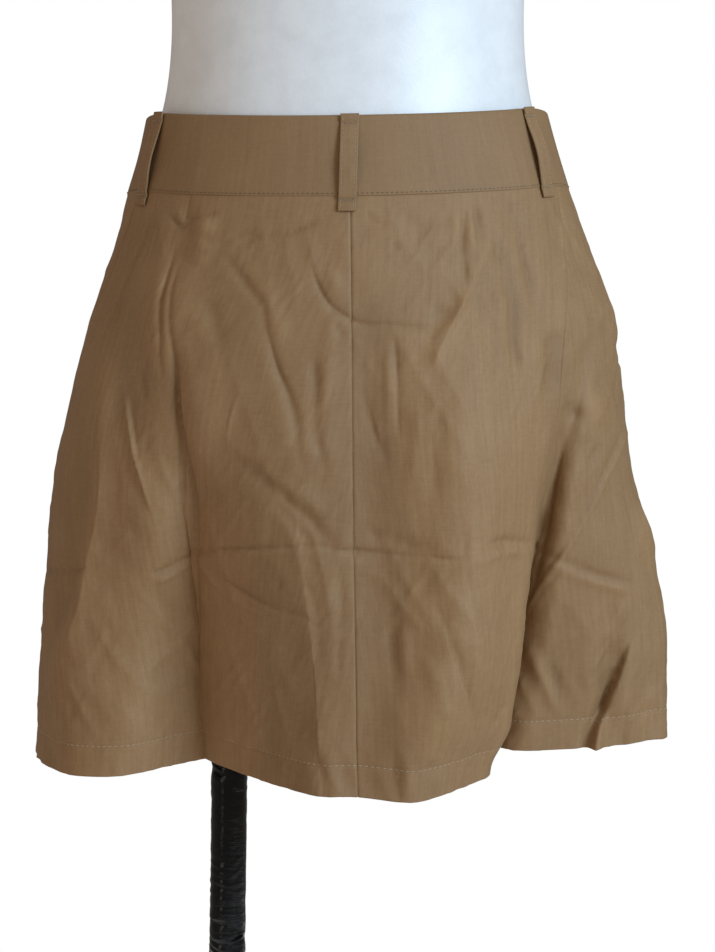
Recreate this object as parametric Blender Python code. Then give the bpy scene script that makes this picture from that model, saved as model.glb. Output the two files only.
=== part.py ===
"""Flared skort standing on a plain limbless hip form with a pole and a round foot.

Units are metres, +Z is up, and the garment's front faces -Y, so its back faces +Y and
the wearer's left is +X. The origin is the centre of the foot's underside.

A place on the garment is given by an angle round the body, in degrees, and by a height
or a share of the drop. The angle is 0 at the centre back, 90 at the left side seam,
180 at the centre front and -90 at the right side seam.
"""

import math
from collections import namedtuple

import bmesh
import bpy
from mathutils import Matrix, Vector

# ---- driving sizes -------------------------------------------------------------------
SEAM_GAP = 0.0003  # left between pieces that are sewn, lie or stand on each other
HALF_GAP = SEAM_GAP / 2

BAND_TOP_Z = 0.693
BAND_SEAM_Z = 0.640  # where the skirt is sewn to the band
SKIRT_HEM_Z = 0.242
SIT_TILT = 0.0135  # the skort sits a little lower on the wearer's left
FRONT_DIP = 0.010  # how much lower the waist lies at the centre front
DIP_FROM, DIP_TO = 60.0, 110.0  # angles between which the waist comes down

SKIRT_WALL = 0.0015
BAND_WALL = 0.0030
SHORTS_WALL = 0.0010
LOOP_WALL = 0.0016

KEEN_POWER = 1.3  # how fast the walls of a sharp valley rise
TUCK_SPREAD = 1.6  # a tucked valley slides cloth along over this many times its inner width
LEAST_ROOM = 2.0  # degrees between two lines of a panel
LEVEL_RIM = 0.7  # an edge whose cloth lies flatter than this keeps its slant

SEAM_HOLD = 0.07  # share of the drop over which the band still holds the cloth to its line

LOOP_WIDTH = 0.012
LOOP_PROUD = 0.0012  # above the band's top edge
LOOP_TAIL = 0.0095  # below the band's seam
LOOP_BULGE = 0.0026
LOOP_ANGLES = {
    "belt_loop_back": 0.0,
    "belt_loop_side_left": 65.5,
    "belt_loop_side_right": -61.5,
    "belt_loop_front_left": 142.0,
    "belt_loop_front_right": -142.0,
}

BAND_END = 6.0  # degrees that each end of the band runs past the centre front
BAND_LAP_FROM = 20.0  # degrees before the centre front where the upper end starts to lift

BUTTON_RADIUS = 0.0085
BUTTON_THICK = 0.0030
BUTTON_Z = 0.656

CROTCH_TOP_Z = 0.485  # where the shorts' centre seams turn under
CROTCH_Z = 0.440
SHORTS_HEM_Z = 0.345
SHORTS_TUCK = 0.0006  # the shorts' top edge lies this far under the band's seam
LEG_CENTRE_X = 0.088
LEG_HALF_WIDTH = 0.080
LEG_HALF_DEPTH = 0.048
LEG_INSIDE = 40.0  # degrees of the leg's ring on each side of its inmost point

FOOT_RADIUS = 0.165
FOOT_THICK = 0.009
FOOT_EDGE = 0.003
COLLAR_RADIUS = 0.021
COLLAR_HEIGHT = 0.026
POLE_RADIUS = 0.0127
POLE_FOOT_X = 0.0877  # the pole stands to the left of the middle
POLE_HEAD_X = 0.0800  # and leans a little
POLE_HEAD_Z = 0.478
SOCKET_PLATE_RADIUS = 0.034
SOCKET_PLATE_THICK = 0.004
SOCKET_DEPTH = 0.030

# ---- tables --------------------------------------------------------------------------
# Half sizes of a section from the body's axis to its left, right, back and front.
Section = namedtuple("Section", "z left right back front")

SKIRT_SECTIONS = (
    Section(0.6400, 0.1523, 0.1528, 0.1108, 0.1072),
    Section(0.6000, 0.1638, 0.1668, 0.1210, 0.1130),
    Section(0.5500, 0.1797, 0.1847, 0.1320, 0.1180),
    Section(0.5000, 0.1932, 0.1912, 0.1390, 0.1220),
    Section(0.4400, 0.2059, 0.1989, 0.1440, 0.1270),
    Section(0.3790, 0.2117, 0.2137, 0.1470, 0.1310),
    Section(0.3075, 0.2171, 0.2247, 0.1490, 0.1350),
    Section(0.2420, 0.2205, 0.2250, 0.1500, 0.1380),
)
BAND_SECTIONS = (
    Section(0.6930, 0.1390, 0.1374, 0.1005, 0.0990),
    Section(0.6650, 0.1453, 0.1455, 0.1064, 0.1040),
    Section(0.6400, 0.1531, 0.1536, 0.1117, 0.1080),
)
SHORTS_SECTIONS = (
    Section(0.6400, 0.1499, 0.1504, 0.1087, 0.1050),
    Section(0.6000, 0.1589, 0.1594, 0.1158, 0.1062),
    Section(0.5550, 0.1673, 0.1683, 0.1225, 0.1080),
    Section(0.5200, 0.1686, 0.1696, 0.1230, 0.1080),
    Section(0.4850, 0.1685, 0.1695, 0.1220, 0.1060),
    Section(0.3450, 0.1680, 0.1680, 0.1200, 0.1040),
)
FORM_SECTIONS = (
    Section(0.8450, 0.1121, 0.1121, 0.0790, 0.0790),
    Section(0.8420, 0.1175, 0.1175, 0.0845, 0.0840),
    Section(0.8340, 0.1210, 0.1210, 0.0880, 0.0870),
    Section(0.8000, 0.1224, 0.1224, 0.0892, 0.0880),
    Section(0.7550, 0.1201, 0.1201, 0.0890, 0.0870),
    Section(0.7200, 0.1219, 0.1219, 0.0915, 0.0895),
    Section(0.6900, 0.1270, 0.1270, 0.0971, 0.0935),
    Section(0.6600, 0.1371, 0.1371, 0.1030, 0.0985),
    Section(0.6400, 0.1440, 0.1440, 0.1060, 0.1015),
    Section(0.6000, 0.1539, 0.1539, 0.1125, 0.1035),
    Section(0.5550, 0.1623, 0.1623, 0.1185, 0.1045),
    Section(0.5200, 0.1641, 0.1641, 0.1180, 0.1020),
    Section(0.5000, 0.1584, 0.1584, 0.1115, 0.0960),
    Section(0.4910, 0.1495, 0.1495, 0.1030, 0.0880),
    Section(0.4880, 0.1395, 0.1395, 0.0940, 0.0800),
)

# A fold's valley runs down the cloth through three angles: at the seam, half way and at
# the hem. It grows from share `start` of the drop to share `end`, or fades the other way.
# `flatten` is the share of the section's depth that it takes, `sink` is how far the cloth
# lies in, `tuck` how far the valley slides under its edge towards the middle and `lift`
# how far the hem rises. It is `inner` degrees wide on the side of the centre back and
# `outer` degrees wide on the other, flat for the share `plateau` of the outer side. Its
# bottom is round where `keen` is 0 and a sharp line where it is 1.
Fold = namedtuple(
    "Fold", "name seam mid hem start end flatten sink tuck lift inner outer plateau keen",
    defaults=(0, 0),
)
FOLDS = {
    fold.name: fold
    for fold in (
        Fold("valley_left", 45.5, 33.2, 28.0, 0.20, 1.0, 0.70, 0, 0.006, 0.004, 23, 33, 0, 1),
        Fold("valley_right", -78, -47.5, -33.5, 0.22, 1.0, 0.56, 0, 0.026, 0.007, 9, 56, 0.6),
        Fold("shoulder_right", -78, -47.5, -33.5, 0.15, 0.85, 0.38, 0, 0, 0, 22, 6),
        Fold("swell_right", -27, -21.0, -11.5, 0.20, 0.9, -0.05, 0, 0, -0.003, 12, 12),
        Fold("wedge_right", -62, -56.0, -56.0, 0.62, 1.0, 0.16, 0, 0.005, 0, 7, 6),
        Fold("hitch_right", -95, -90.0, -86.0, 0.50, 1.0, 0, 0, 0, 0.0055, 22, 30),
        Fold("dart_left", 43.0, 44.0, 45.0, 0.30, 0, 0, 0.0022, 0, 0, 5, 7),
        Fold("dart_right", -43, -47.0, -48.0, 0.30, 0, 0, 0.0022, 0, 0, 5, 7),
        Fold("valley_front_left", 138, 145, 151, 0.20, 1.0, 0.34, 0, 0.004, 0.004, 24, 15),
        Fold("valley_front_right", -136, -146, -149, 0.16, 1.0, 0.38, 0, 0.004, 0.004, 22, 14),
    )
}

# Angles of the seams and of one helping line, at shares of the drop. The right side seam
# shows below the loop and then lies inside the deep fold.
SEAMS = {
    "centre_back": ((0.0, -0.7), (1.0, -1.6)),
    "side_left": ((0.0, 69.0), (0.12, 73.0), (0.25, 84.0), (0.5, 91.0), (1.0, 94.0)),
    "centre_front": ((0.0, 180.0), (1.0, 180.0)),
    "front_from_right": ((0.0, -180.0), (1.0, -180.0)),
    "flank_right": ((0.0, -88.0), (1.0, -88.0)),
    "side_right": ((0.0, -69.0), (0.12, -60.5), (0.25, -51.5), (0.5, -45.7), (0.7, -38.0), (1.0, -32.0)),
}

# Each skirt panel runs between two seams, past the lines of its folds. The numbers say
# how many strips of cloth lie between one line and the next.
Panel = namedtuple("Panel", "name lines strips")
PANELS = (
    Panel(
        "skirt_back_left",
        ("centre_back", "valley_left near", "valley_left", "valley_left far", "side_left"),
        (3, 8, 8, 3),
    ),
    Panel("skirt_back_right", ("side_right", "valley_right near", "centre_back"), (5, 13)),
    Panel(
        "skirt_front_left",
        ("side_left", "valley_front_left near", "valley_front_left",
         "valley_front_left far", "centre_front"),
        (5, 6, 4, 3),
    ),
    Panel(
        "skirt_front_right",
        ("front_from_right", "valley_front_right far", "valley_front_right",
         "valley_front_right near", "flank_right", "side_right"),
        (3, 4, 5, 4, 13),
    ),
)
PANEL_ROWS = 15
BAND_ROWS = 4
BAND_STRIPS = 48
LOOP_ROWS = 9
SHORTS_ROWS = 6
LEG_ROWS = 5
SHORTS_STRIPS = 18
CROTCH_STRIPS = 6
FORM_STRIPS = 36
ROUND_SIDES = 32

# Colours are linear red, green and blue.
Finish = namedtuple("Finish", "colour roughness metallic")
FINISHES = {
    "cotton_twill": Finish((0.235, 0.150, 0.080), 0.72, 0.0),
    "band_twill": Finish((0.205, 0.128, 0.068), 0.72, 0.0),
    "shorts_twill": Finish((0.190, 0.118, 0.062), 0.80, 0.0),
    "button_resin": Finish((0.120, 0.070, 0.038), 0.35, 0.0),
    "form_shell": Finish((0.720, 0.740, 0.780), 0.50, 0.0),
    "black_tube": Finish((0.012, 0.012, 0.013), 0.30, 0.0),
    "black_steel": Finish((0.020, 0.020, 0.021), 0.40, 0.6),
}


# ---- measures and curves -------------------------------------------------------------
def smooth(share):
    """0 to 1 with level ends."""
    share = min(max(share, 0.0), 1.0)
    return share * share * (3.0 - 2.0 * share)


def slopes(xs, ys):
    """Slopes of a curve through the points that never swings past them."""
    steps = [(y1 - y0) / (x1 - x0) for x0, x1, y0, y1 in zip(xs, xs[1:], ys, ys[1:])]
    inner = [
        2 * before * after / (before + after) if before * after > 0 else 0.0
        for before, after in zip(steps, steps[1:])
    ]
    return [steps[0], *inner, steps[-1]]


def along(xs, ys, x):
    """The value at x of the curve through the points (xs, ys), with xs rising."""
    x = min(max(x, xs[0]), xs[-1])
    i = max(k for k in range(len(xs) - 1) if xs[k] <= x)
    width = xs[i + 1] - xs[i]
    t = (x - xs[i]) / width
    slope = slopes(xs, ys)
    return (
        ys[i] * (1 + 2 * t) * (1 - t) ** 2
        + width * slope[i] * t * (1 - t) ** 2
        + ys[i + 1] * t * t * (3 - 2 * t)
        - width * slope[i + 1] * t * t * (1 - t)
    )


def section_at(sections, z):
    """The section at height z, smoothly between the table's rows."""
    rows = sorted(sections)
    heights = [row.z for row in rows]
    sizes = (along(heights, [row[k] for row in rows], z) for k in range(1, 5))
    return Section(z, *sizes)


def on_section(section, angle):
    """The point of the section at an angle, and its outward direction."""
    turn = math.radians(angle)
    across = section.left if math.sin(turn) > 0 else section.right
    deep = section.back if math.cos(turn) > 0 else section.front
    point = Vector((across * math.sin(turn), deep * math.cos(turn), section.z))
    outward = Vector((math.sin(turn) / across, math.cos(turn) / deep, 0.0)).normalized()
    return point, outward


def waist_dip(angle):
    """How far the waist lies below its height at the back."""
    off_centre = abs((angle + 180.0) % 360.0 - 180.0)
    return FRONT_DIP * smooth((off_centre - DIP_FROM) / (DIP_TO - DIP_FROM))


def sat(point):
    """The point after the garment's small tilt on the form."""
    return Vector((point.x, point.y, point.z - SIT_TILT * point.x))


# ---- the drape -----------------------------------------------------------------------
def fold_line(fold, share):
    """The angle of a fold's valley at a share of the drop."""
    return (
        fold.seam * (1 - share) * (1 - 2 * share)
        + fold.mid * 4 * share * (1 - share)
        + fold.hem * share * (2 * share - 1)
    )


def skirt_point(angle, share):
    """The outer face of the skirt's cloth, before any wall is given to it."""
    z = BAND_SEAM_Z - share * (BAND_SEAM_Z - SKIRT_HEM_Z)
    point, outward = on_section(section_at(SKIRT_SECTIONS, z), angle)
    for fold in FOLDS.values():
        amount = smooth((share - fold.start) / (fold.end - fold.start))
        amount *= smooth(share / SEAM_HOLD)
        off = angle - fold_line(fold, share)
        side = math.copysign(1.0, fold.hem)
        outside = off * side > 0
        reach = fold.outer if outside else fold.inner
        flat = fold.plateau if outside else 0.0
        away = min(max((abs(off) / reach - flat) / (1 - flat), 0.0), 1.0)
        depth = 1 - smooth(away) if not fold.keen else (1 - away) ** KEEN_POWER
        depth *= amount
        slide_reach = min(TUCK_SPREAD * fold.inner, reach)
        slide = amount * (1 - smooth(abs(off) / slide_reach))
        point.y *= 1 - fold.flatten * depth
        point -= outward * fold.sink * depth
        point.x -= side * fold.tuck * slide
        point.z += fold.lift * depth * share
    point.z -= waist_dip(angle) * (1 - share)
    return sat(point)


def skirt_place(angle, share):
    """A point of the skirt, the way along the section there and the way out of the cloth."""
    higher, lower = max(share - 0.01, 0.0), min(share + 0.01, 1.0)
    across = skirt_point(angle + 1.0, share) - skirt_point(angle - 1.0, share)
    down = skirt_point(angle, lower) - skirt_point(angle, higher)
    out = across.cross(down)
    return skirt_point(angle, share), across.normalized(), out.normalized()


def band_point(angle, share):
    """The outer face of the waistband, from its top at share 0 to its seam at 1."""
    z = BAND_TOP_Z - share * (BAND_TOP_Z - BAND_SEAM_Z)
    point, outward = on_section(section_at(BAND_SECTIONS, z), angle)
    point.z -= waist_dip(angle)
    return sat(point), outward


# ---- meshes --------------------------------------------------------------------------
def sheet(grid, mesh=None):
    """Faces between rows of points that run round the body, top row first."""
    mesh = mesh or bmesh.new()
    rows = [[mesh.verts.new(point) for point in row] for row in grid]
    for upper, lower in zip(rows, rows[1:]):
        for a, b, c, d in zip(upper, upper[1:], lower[1:], lower):
            mesh.faces.new((a, b, c, d))
    return mesh


def wall_between(outer, inner):
    """A closed wall between two grids of points, one behind the other."""
    mesh = sheet(outer)
    count = len(mesh.verts)
    sheet([row[::-1] for row in inner], mesh)
    mesh.verts.ensure_lookup_table()
    width, height = len(outer[0]), len(outer)
    front = [mesh.verts[:count][r * width : (r + 1) * width] for r in range(height)]
    back = [mesh.verts[count:][r * width : (r + 1) * width][::-1] for r in range(height)]
    around = (
        [(0, k) for k in range(width)]
        + [(r, width - 1) for r in range(1, height)]
        + [(height - 1, k) for k in reversed(range(width - 1))]
        + [(r, 0) for r in reversed(range(1, height - 1))]
    )
    for (r0, k0), (r1, k1) in zip(around, around[1:] + around[:1]):
        mesh.faces.new((front[r1][k1], front[r0][k0], back[r0][k0], back[r1][k1]))
    return mesh


def thicken(mesh, wall):
    """Turns an open sheet into a closed wall that lies on its inner side."""
    mesh.normal_update()
    faces = list(mesh.faces)
    rim = [(edge.link_loops[0].vert, edge.link_loops[0].link_loop_next.vert)
           for edge in mesh.edges if edge.is_boundary]
    on_rim = {vert for pair in rim for vert in pair}
    inner = {}
    for vert in list(mesh.verts):
        inward = -vert.normal
        if vert in on_rim and abs(vert.co.x) < 2 * SEAM_GAP:
            inward.x = 0.0  # a centre seam's edge stays in its own plane
        if vert in on_rim and abs(inward.z) < LEVEL_RIM:
            inward.z = 0.0  # top and bottom edges are cut level
        inner[vert] = mesh.verts.new(vert.co + inward.normalized() * wall)
    for face in faces:
        mesh.faces.new([inner[vert] for vert in reversed(face.verts)])
    for first, second in rim:
        mesh.faces.new((second, first, inner[first], inner[second]))


def tube(rings):
    """A closed solid through rings of points, top ring first."""
    mesh = bmesh.new()
    rows = [[mesh.verts.new(point) for point in ring] for ring in rings]
    for upper, lower in zip(rows, rows[1:]):
        for k in range(len(upper)):
            mesh.faces.new((upper[k - 1], upper[k], lower[k], lower[k - 1]))
    mesh.faces.new(rows[0])
    mesh.faces.new(reversed(rows[-1]))
    return mesh


def turned(profile, hollow=False):
    """A solid turned about Z from (radius, height) pairs, or a ring where it is hollow."""
    mesh = bmesh.new()
    rows = [
        [
            mesh.verts.new((
                radius * math.cos(math.tau * k / ROUND_SIDES),
                radius * math.sin(math.tau * k / ROUND_SIDES),
                height,
            ))
            for k in range(ROUND_SIDES)
        ]
        for radius, height in profile
    ]
    pairs = list(zip(rows, rows[1:])) + ([(rows[-1], rows[0])] if hollow else [])
    for upper, lower in pairs:
        for k in range(ROUND_SIDES):
            mesh.faces.new((upper[k - 1], upper[k], lower[k], lower[k - 1]))
    if not hollow:
        mesh.faces.new(rows[0])
        mesh.faces.new(rows[-1])
    return mesh


def add_object(name, mesh, finish, sharp=40.0):
    """Closes the mesh's account: faces out, smooth shading, a material and a name."""
    bmesh.ops.recalc_face_normals(mesh, faces=mesh.faces)
    data = bpy.data.meshes.new(name)
    mesh.to_mesh(data)
    mesh.free()
    data.shade_smooth()
    data.set_sharp_from_angle(angle=math.radians(sharp))
    data.materials.append(bpy.data.materials[finish])
    piece = bpy.data.objects.new(name, data)
    bpy.context.scene.collection.objects.link(piece)
    return piece


def add_finishes():
    """One plain material for each finish."""
    for name, finish in FINISHES.items():
        material = bpy.data.materials.new(name)
        material.use_nodes = True
        shader = material.node_tree.nodes["Principled BSDF"]
        shader.inputs["Base Color"].default_value = (*finish.colour, 1.0)
        shader.inputs["Roughness"].default_value = finish.roughness
        shader.inputs["Metallic"].default_value = finish.metallic


# ---- the garment's pieces ------------------------------------------------------------
def line_angle(line, share):
    """The angle of a seam, of a fold's valley or of a fold's near or far edge."""
    if line in SEAMS:
        shares, angles = zip(*SEAMS[line])
        return along(shares, angles, share)
    name, _, edge = line.partition(" ")
    fold = FOLDS[name]
    reach = {"": 0.0, "near": -fold.inner, "far": fold.outer}[edge]
    return fold_line(fold, share) + math.copysign(reach, reach * fold.hem)


def panel_angles(panel, share):
    """Angles of a panel's strips, which follow its folds down the cloth."""
    lines = [line_angle(line, share) for line in panel.lines]
    last = len(lines) - 1
    for k in range(1, last):
        least, most = lines[k - 1] + LEAST_ROOM, lines[last] - (last - k) * LEAST_ROOM
        lines[k] = min(max(lines[k], least), most)
    angles = [lines[0]]
    for first, end, strips in zip(lines, lines[1:], panel.strips):
        angles += [first + (end - first) * (k + 1) / strips for k in range(strips)]
    return angles


def add_skirt_panel(panel):
    """A back or front panel of the skirt, from the band's seam to the hem."""
    outer, inner = [], []
    for row in range(PANEL_ROWS + 1):
        share = row / PANEL_ROWS
        places = [skirt_place(angle, share) for angle in panel_angles(panel, share)]
        for place, back_off in ((places[0], HALF_GAP), (places[-1], -HALF_GAP)):
            place[0].xyz += place[1] * back_off
        for point, _, out in places:
            if row == 0:
                point.z -= SEAM_GAP
            if row in (0, PANEL_ROWS):
                out.z = 0.0
                out.normalize()
        outer.append([point for point, _, _ in places])
        inner.append([point - out * SKIRT_WALL for point, _, out in places])
    return add_object(panel.name, wall_between(outer, inner), "cotton_twill")


def band_lift(angle):
    """How far the upper end of the band stands off the lower one."""
    lapped = BAND_WALL + SEAM_GAP
    return lapped * smooth((angle - 180.0 + BAND_LAP_FROM) / (BAND_LAP_FROM - BAND_END))


def add_waistband():
    """The straight band, lapped at the centre front."""
    first, last = -180.0 - BAND_END, 180.0 + BAND_END
    outer, inner = [], []
    for row in range(BAND_ROWS + 1):
        points, backs = [], []
        for k in range(BAND_STRIPS + 1):
            angle = first + (last - first) * k / BAND_STRIPS
            point, outward = band_point(angle, row / BAND_ROWS)
            point += outward * band_lift(angle)
            points.append(point)
            backs.append(point - outward * BAND_WALL)
        outer.append(points)
        inner.append(backs)
    return add_object("waistband", wall_between(outer, inner), "band_twill")


def loop_point(angle, height):
    """The cloth under a belt loop, at a height above the band's seam."""
    band_height = BAND_TOP_Z - BAND_SEAM_Z
    if height < 0.0:
        point = skirt_point(angle, -height / (BAND_SEAM_Z - SKIRT_HEM_Z))
        band_edge, outward = band_point(angle, 1.0)
        stand = (band_edge - point).dot(outward)
        return point + outward * max(stand, 0.0) * (1 + height / LOOP_TAIL), outward
    point, outward = band_point(angle, 1.0 - height / band_height)
    point.z += max(height - band_height, 0.0)
    return point, outward


def add_belt_loop(name, centre):
    """A flat strip sewn down at both ends, a little slack between them."""
    height = BAND_TOP_Z - BAND_SEAM_Z
    one_degree = loop_point(centre + 0.5, 0.0)[0] - loop_point(centre - 0.5, 0.0)[0]
    spread = LOOP_WIDTH / 2 / one_degree.length
    outer, inner = [], []
    for row in range(LOOP_ROWS + 1):
        share = row / LOOP_ROWS
        up = height + LOOP_PROUD - share * (height + LOOP_PROUD + LOOP_TAIL)
        stand = SEAM_GAP + LOOP_WALL + LOOP_BULGE * math.sin(math.pi * share) ** 2
        places = [loop_point(centre + k * spread, up) for k in (-1.0, -0.5, 0.5, 1.0)]
        outer.append([point + outward * stand for point, outward in places])
        inner.append([point + outward * (stand - LOOP_WALL) for point, outward in places])
    return add_object(name, wall_between(outer, inner), "band_twill")


def shorts_ring(side, angle, share):
    """A point round one leg of the shorts, above the hem by the rest of the share."""
    z = CROTCH_TOP_Z - share * (CROTCH_TOP_Z - SHORTS_HEM_Z)
    body, _ = on_section(section_at(SHORTS_SECTIONS, z), side * angle)
    turn = math.radians(-LEG_INSIDE + angle * (180.0 + 2 * LEG_INSIDE) / 180.0)
    leg = Vector((
        side * (LEG_CENTRE_X + LEG_HALF_WIDTH * math.sin(turn)),
        LEG_HALF_DEPTH * math.cos(turn),
        z,
    ))
    return body.lerp(leg, smooth(share))


def crotch_point(side, across, share):
    """A point of the leg's inner side: across runs from the back seam to the front one."""
    turn = math.radians(-LEG_INSIDE - across * (180.0 - 2 * LEG_INSIDE))
    z_hem = SHORTS_HEM_Z
    leg = Vector((
        side * (LEG_CENTRE_X + LEG_HALF_WIDTH * math.sin(turn)),
        LEG_HALF_DEPTH * math.cos(turn),
        z_hem,
    ))
    size = section_at(SHORTS_SECTIONS, CROTCH_TOP_Z)
    swing = math.cos(math.pi * across)
    deep = size.back if swing > 0 else size.front
    drop = (CROTCH_TOP_Z - CROTCH_Z) * math.sin(math.pi * across)
    seam = Vector((side * HALF_GAP, deep * swing, CROTCH_TOP_Z - drop))
    fallen = seam.lerp(leg, share)
    eased = seam.lerp(leg, smooth(share))
    return Vector((eased.x, eased.y, fallen.z))


def add_shorts_half(name, side):
    """One half of the shorts: an open seat above the crotch and a closed leg below."""
    seat = []
    for row in range(SHORTS_ROWS):
        z = BAND_SEAM_Z + (CROTCH_TOP_Z - BAND_SEAM_Z) * row / SHORTS_ROWS
        size = section_at(SHORTS_SECTIONS, z)
        points = []
        for k in range(SHORTS_STRIPS + 1):
            angle = side * 180.0 * k / SHORTS_STRIPS
            point, _ = on_section(size, angle)
            hung = 1 - row / SHORTS_ROWS
            point.z -= (waist_dip(angle) + SIT_TILT * point.x) * hung
            points.append(point)
        seat.append(points)
    for point in seat[0]:
        point.z -= SHORTS_TUCK
    for row in range(LEG_ROWS + 1):
        share = row / LEG_ROWS
        seat.append([
            shorts_ring(side, 180.0 * k / SHORTS_STRIPS, share)
            for k in range(SHORTS_STRIPS + 1)
        ])
    for row in seat[: SHORTS_ROWS + 1]:
        row[0].x = row[-1].x = side * HALF_GAP
    crotch = [
        [crotch_point(side, k / CROTCH_STRIPS, row / LEG_ROWS) for k in range(CROTCH_STRIPS + 1)]
        for row in range(LEG_ROWS + 1)
    ]
    for row, inside in zip(seat[SHORTS_ROWS:], crotch):
        inside[0], inside[-1] = row[0].copy(), row[-1].copy()
    if side < 0:
        seat = [row[::-1] for row in seat]
    else:
        crotch = [row[::-1] for row in crotch]
    mesh = sheet(crotch, sheet(seat))
    bmesh.ops.remove_doubles(mesh, verts=mesh.verts, dist=1e-6)
    thicken(mesh, SHORTS_WALL)
    return add_object(name, mesh, "shorts_twill")


def add_button():
    """A round button on the band's upper end."""
    height = (BAND_TOP_Z - FRONT_DIP - BUTTON_Z) / (BAND_TOP_Z - BAND_SEAM_Z)
    seat, outward = band_point(180.0, height)
    seat += outward * (band_lift(180.0) + SEAM_GAP)
    rim = BUTTON_THICK / 3
    mesh = turned((
        (BUTTON_RADIUS - rim, 0.0),
        (BUTTON_RADIUS, rim),
        (BUTTON_RADIUS, BUTTON_THICK - rim),
        (BUTTON_RADIUS - rim, BUTTON_THICK),
        (BUTTON_RADIUS - 2.5 * rim, BUTTON_THICK - rim / 2),
    ))
    above, _ = band_point(180.0, height - 0.1)
    below, _ = band_point(180.0, height + 0.1)
    face = (below - above).cross(Vector((1.0, 0.0, 0.0)))
    face = face if face.dot(outward) > 0 else -face
    place = Matrix.Translation(seat) @ face.to_track_quat("Z", "Y").to_matrix().to_4x4()
    bmesh.ops.transform(mesh, matrix=place, verts=mesh.verts)
    return add_object("button", mesh, "button_resin")


# ---- the form and its stand ----------------------------------------------------------
def pole_line(z):
    """The middle of the leaning pole at a height."""
    share = (z - FOOT_THICK) / (POLE_HEAD_Z - FOOT_THICK)
    return Vector((POLE_FOOT_X + (POLE_HEAD_X - POLE_FOOT_X) * share, 0.0, z))


def round_ring(radius, z):
    """A level ring about the leaning pole."""
    centre = pole_line(z)
    return [
        centre + Vector((
            radius * math.sin(math.tau * k / ROUND_SIDES),
            radius * math.cos(math.tau * k / ROUND_SIDES),
            0.0,
        ))
        for k in range(ROUND_SIDES)
    ]


def sleeve(rings):
    """A closed ring-shaped solid through level rings given as (radius, z)."""
    mesh = bmesh.new()
    rows = [[mesh.verts.new(point) for point in round_ring(*ring)] for ring in rings]
    for upper, lower in zip(rows, rows[1:] + rows[:1]):
        for k in range(ROUND_SIDES):
            mesh.faces.new((upper[k - 1], upper[k], lower[k], lower[k - 1]))
    return mesh


def add_form():
    """The torso, its socket, the pole, the collar and the foot."""
    rings = [
        [on_section(row, 360.0 * k / FORM_STRIPS)[0] for k in range(FORM_STRIPS)]
        for row in FORM_SECTIONS
    ]
    add_object("form_torso", tube(rings), "form_shell", sharp=50.0)

    under = FORM_SECTIONS[-1].z - SEAM_GAP
    bore = POLE_RADIUS + SEAM_GAP
    wall = bore + 0.0035
    socket = tube([
        round_ring(SOCKET_PLATE_RADIUS, under),
        round_ring(SOCKET_PLATE_RADIUS, under - SOCKET_PLATE_THICK),
        round_ring(wall + 0.004, under - SOCKET_PLATE_THICK),
        round_ring(wall, under - SOCKET_PLATE_THICK - 0.005),
        round_ring(wall, under - SOCKET_DEPTH),
        round_ring(bore, under - SOCKET_DEPTH),
        round_ring(bore, POLE_HEAD_Z + SEAM_GAP),
    ])
    add_object("pole_socket", socket, "black_steel")

    pole = tube([round_ring(POLE_RADIUS, POLE_HEAD_Z), round_ring(POLE_RADIUS, FOOT_THICK + SEAM_GAP)])
    add_object("form_pole", pole, "black_tube")

    low, high = FOOT_THICK + SEAM_GAP, FOOT_THICK + COLLAR_HEIGHT
    collar = sleeve([
        (bore, high),
        (COLLAR_RADIUS - 0.004, high),
        (COLLAR_RADIUS, high - 0.006),
        (COLLAR_RADIUS, low),
        (bore, low),
    ])
    add_object("pole_collar", collar, "black_steel")

    foot = turned((
        (FOOT_RADIUS - 2 * FOOT_EDGE, FOOT_THICK),
        (FOOT_RADIUS - FOOT_EDGE / 2, FOOT_THICK - FOOT_EDGE / 2),
        (FOOT_RADIUS, FOOT_THICK - 2 * FOOT_EDGE),
        (FOOT_RADIUS, 0.0),
    ))
    add_object("form_foot", foot, "black_steel")


def main():
    """Clears the scene and builds every piece."""
    for piece in list(bpy.data.objects):
        bpy.data.objects.remove(piece, do_unlink=True)
    add_finishes()
    for panel in PANELS:
        add_skirt_panel(panel)
    add_waistband()
    for name, angle in LOOP_ANGLES.items():
        add_belt_loop(name, angle)
    add_shorts_half("shorts_left", 1)
    add_shorts_half("shorts_right", -1)
    add_button()
    add_form()


main()
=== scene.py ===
"""Looks of a flared camel skort on a plain hip form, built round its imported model.

Units are metres and +Z is up. The garment's back faces +Y, towards the camera, and the
wearer's left is +X. A place on the garment is an angle round the body (0 at the centre
back, 90 at the left side, 180 at the centre front and -90 at the right side) and a share
of the skirt's drop, 0 at the waistband's seam and 1 at the hem.
"""

import logging
import math
import re
from dataclasses import dataclass, field
from enum import Enum
from typing import Callable, Optional, Sequence

import bmesh
import bpy
import numpy as np
from mathutils import Matrix, Vector

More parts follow.
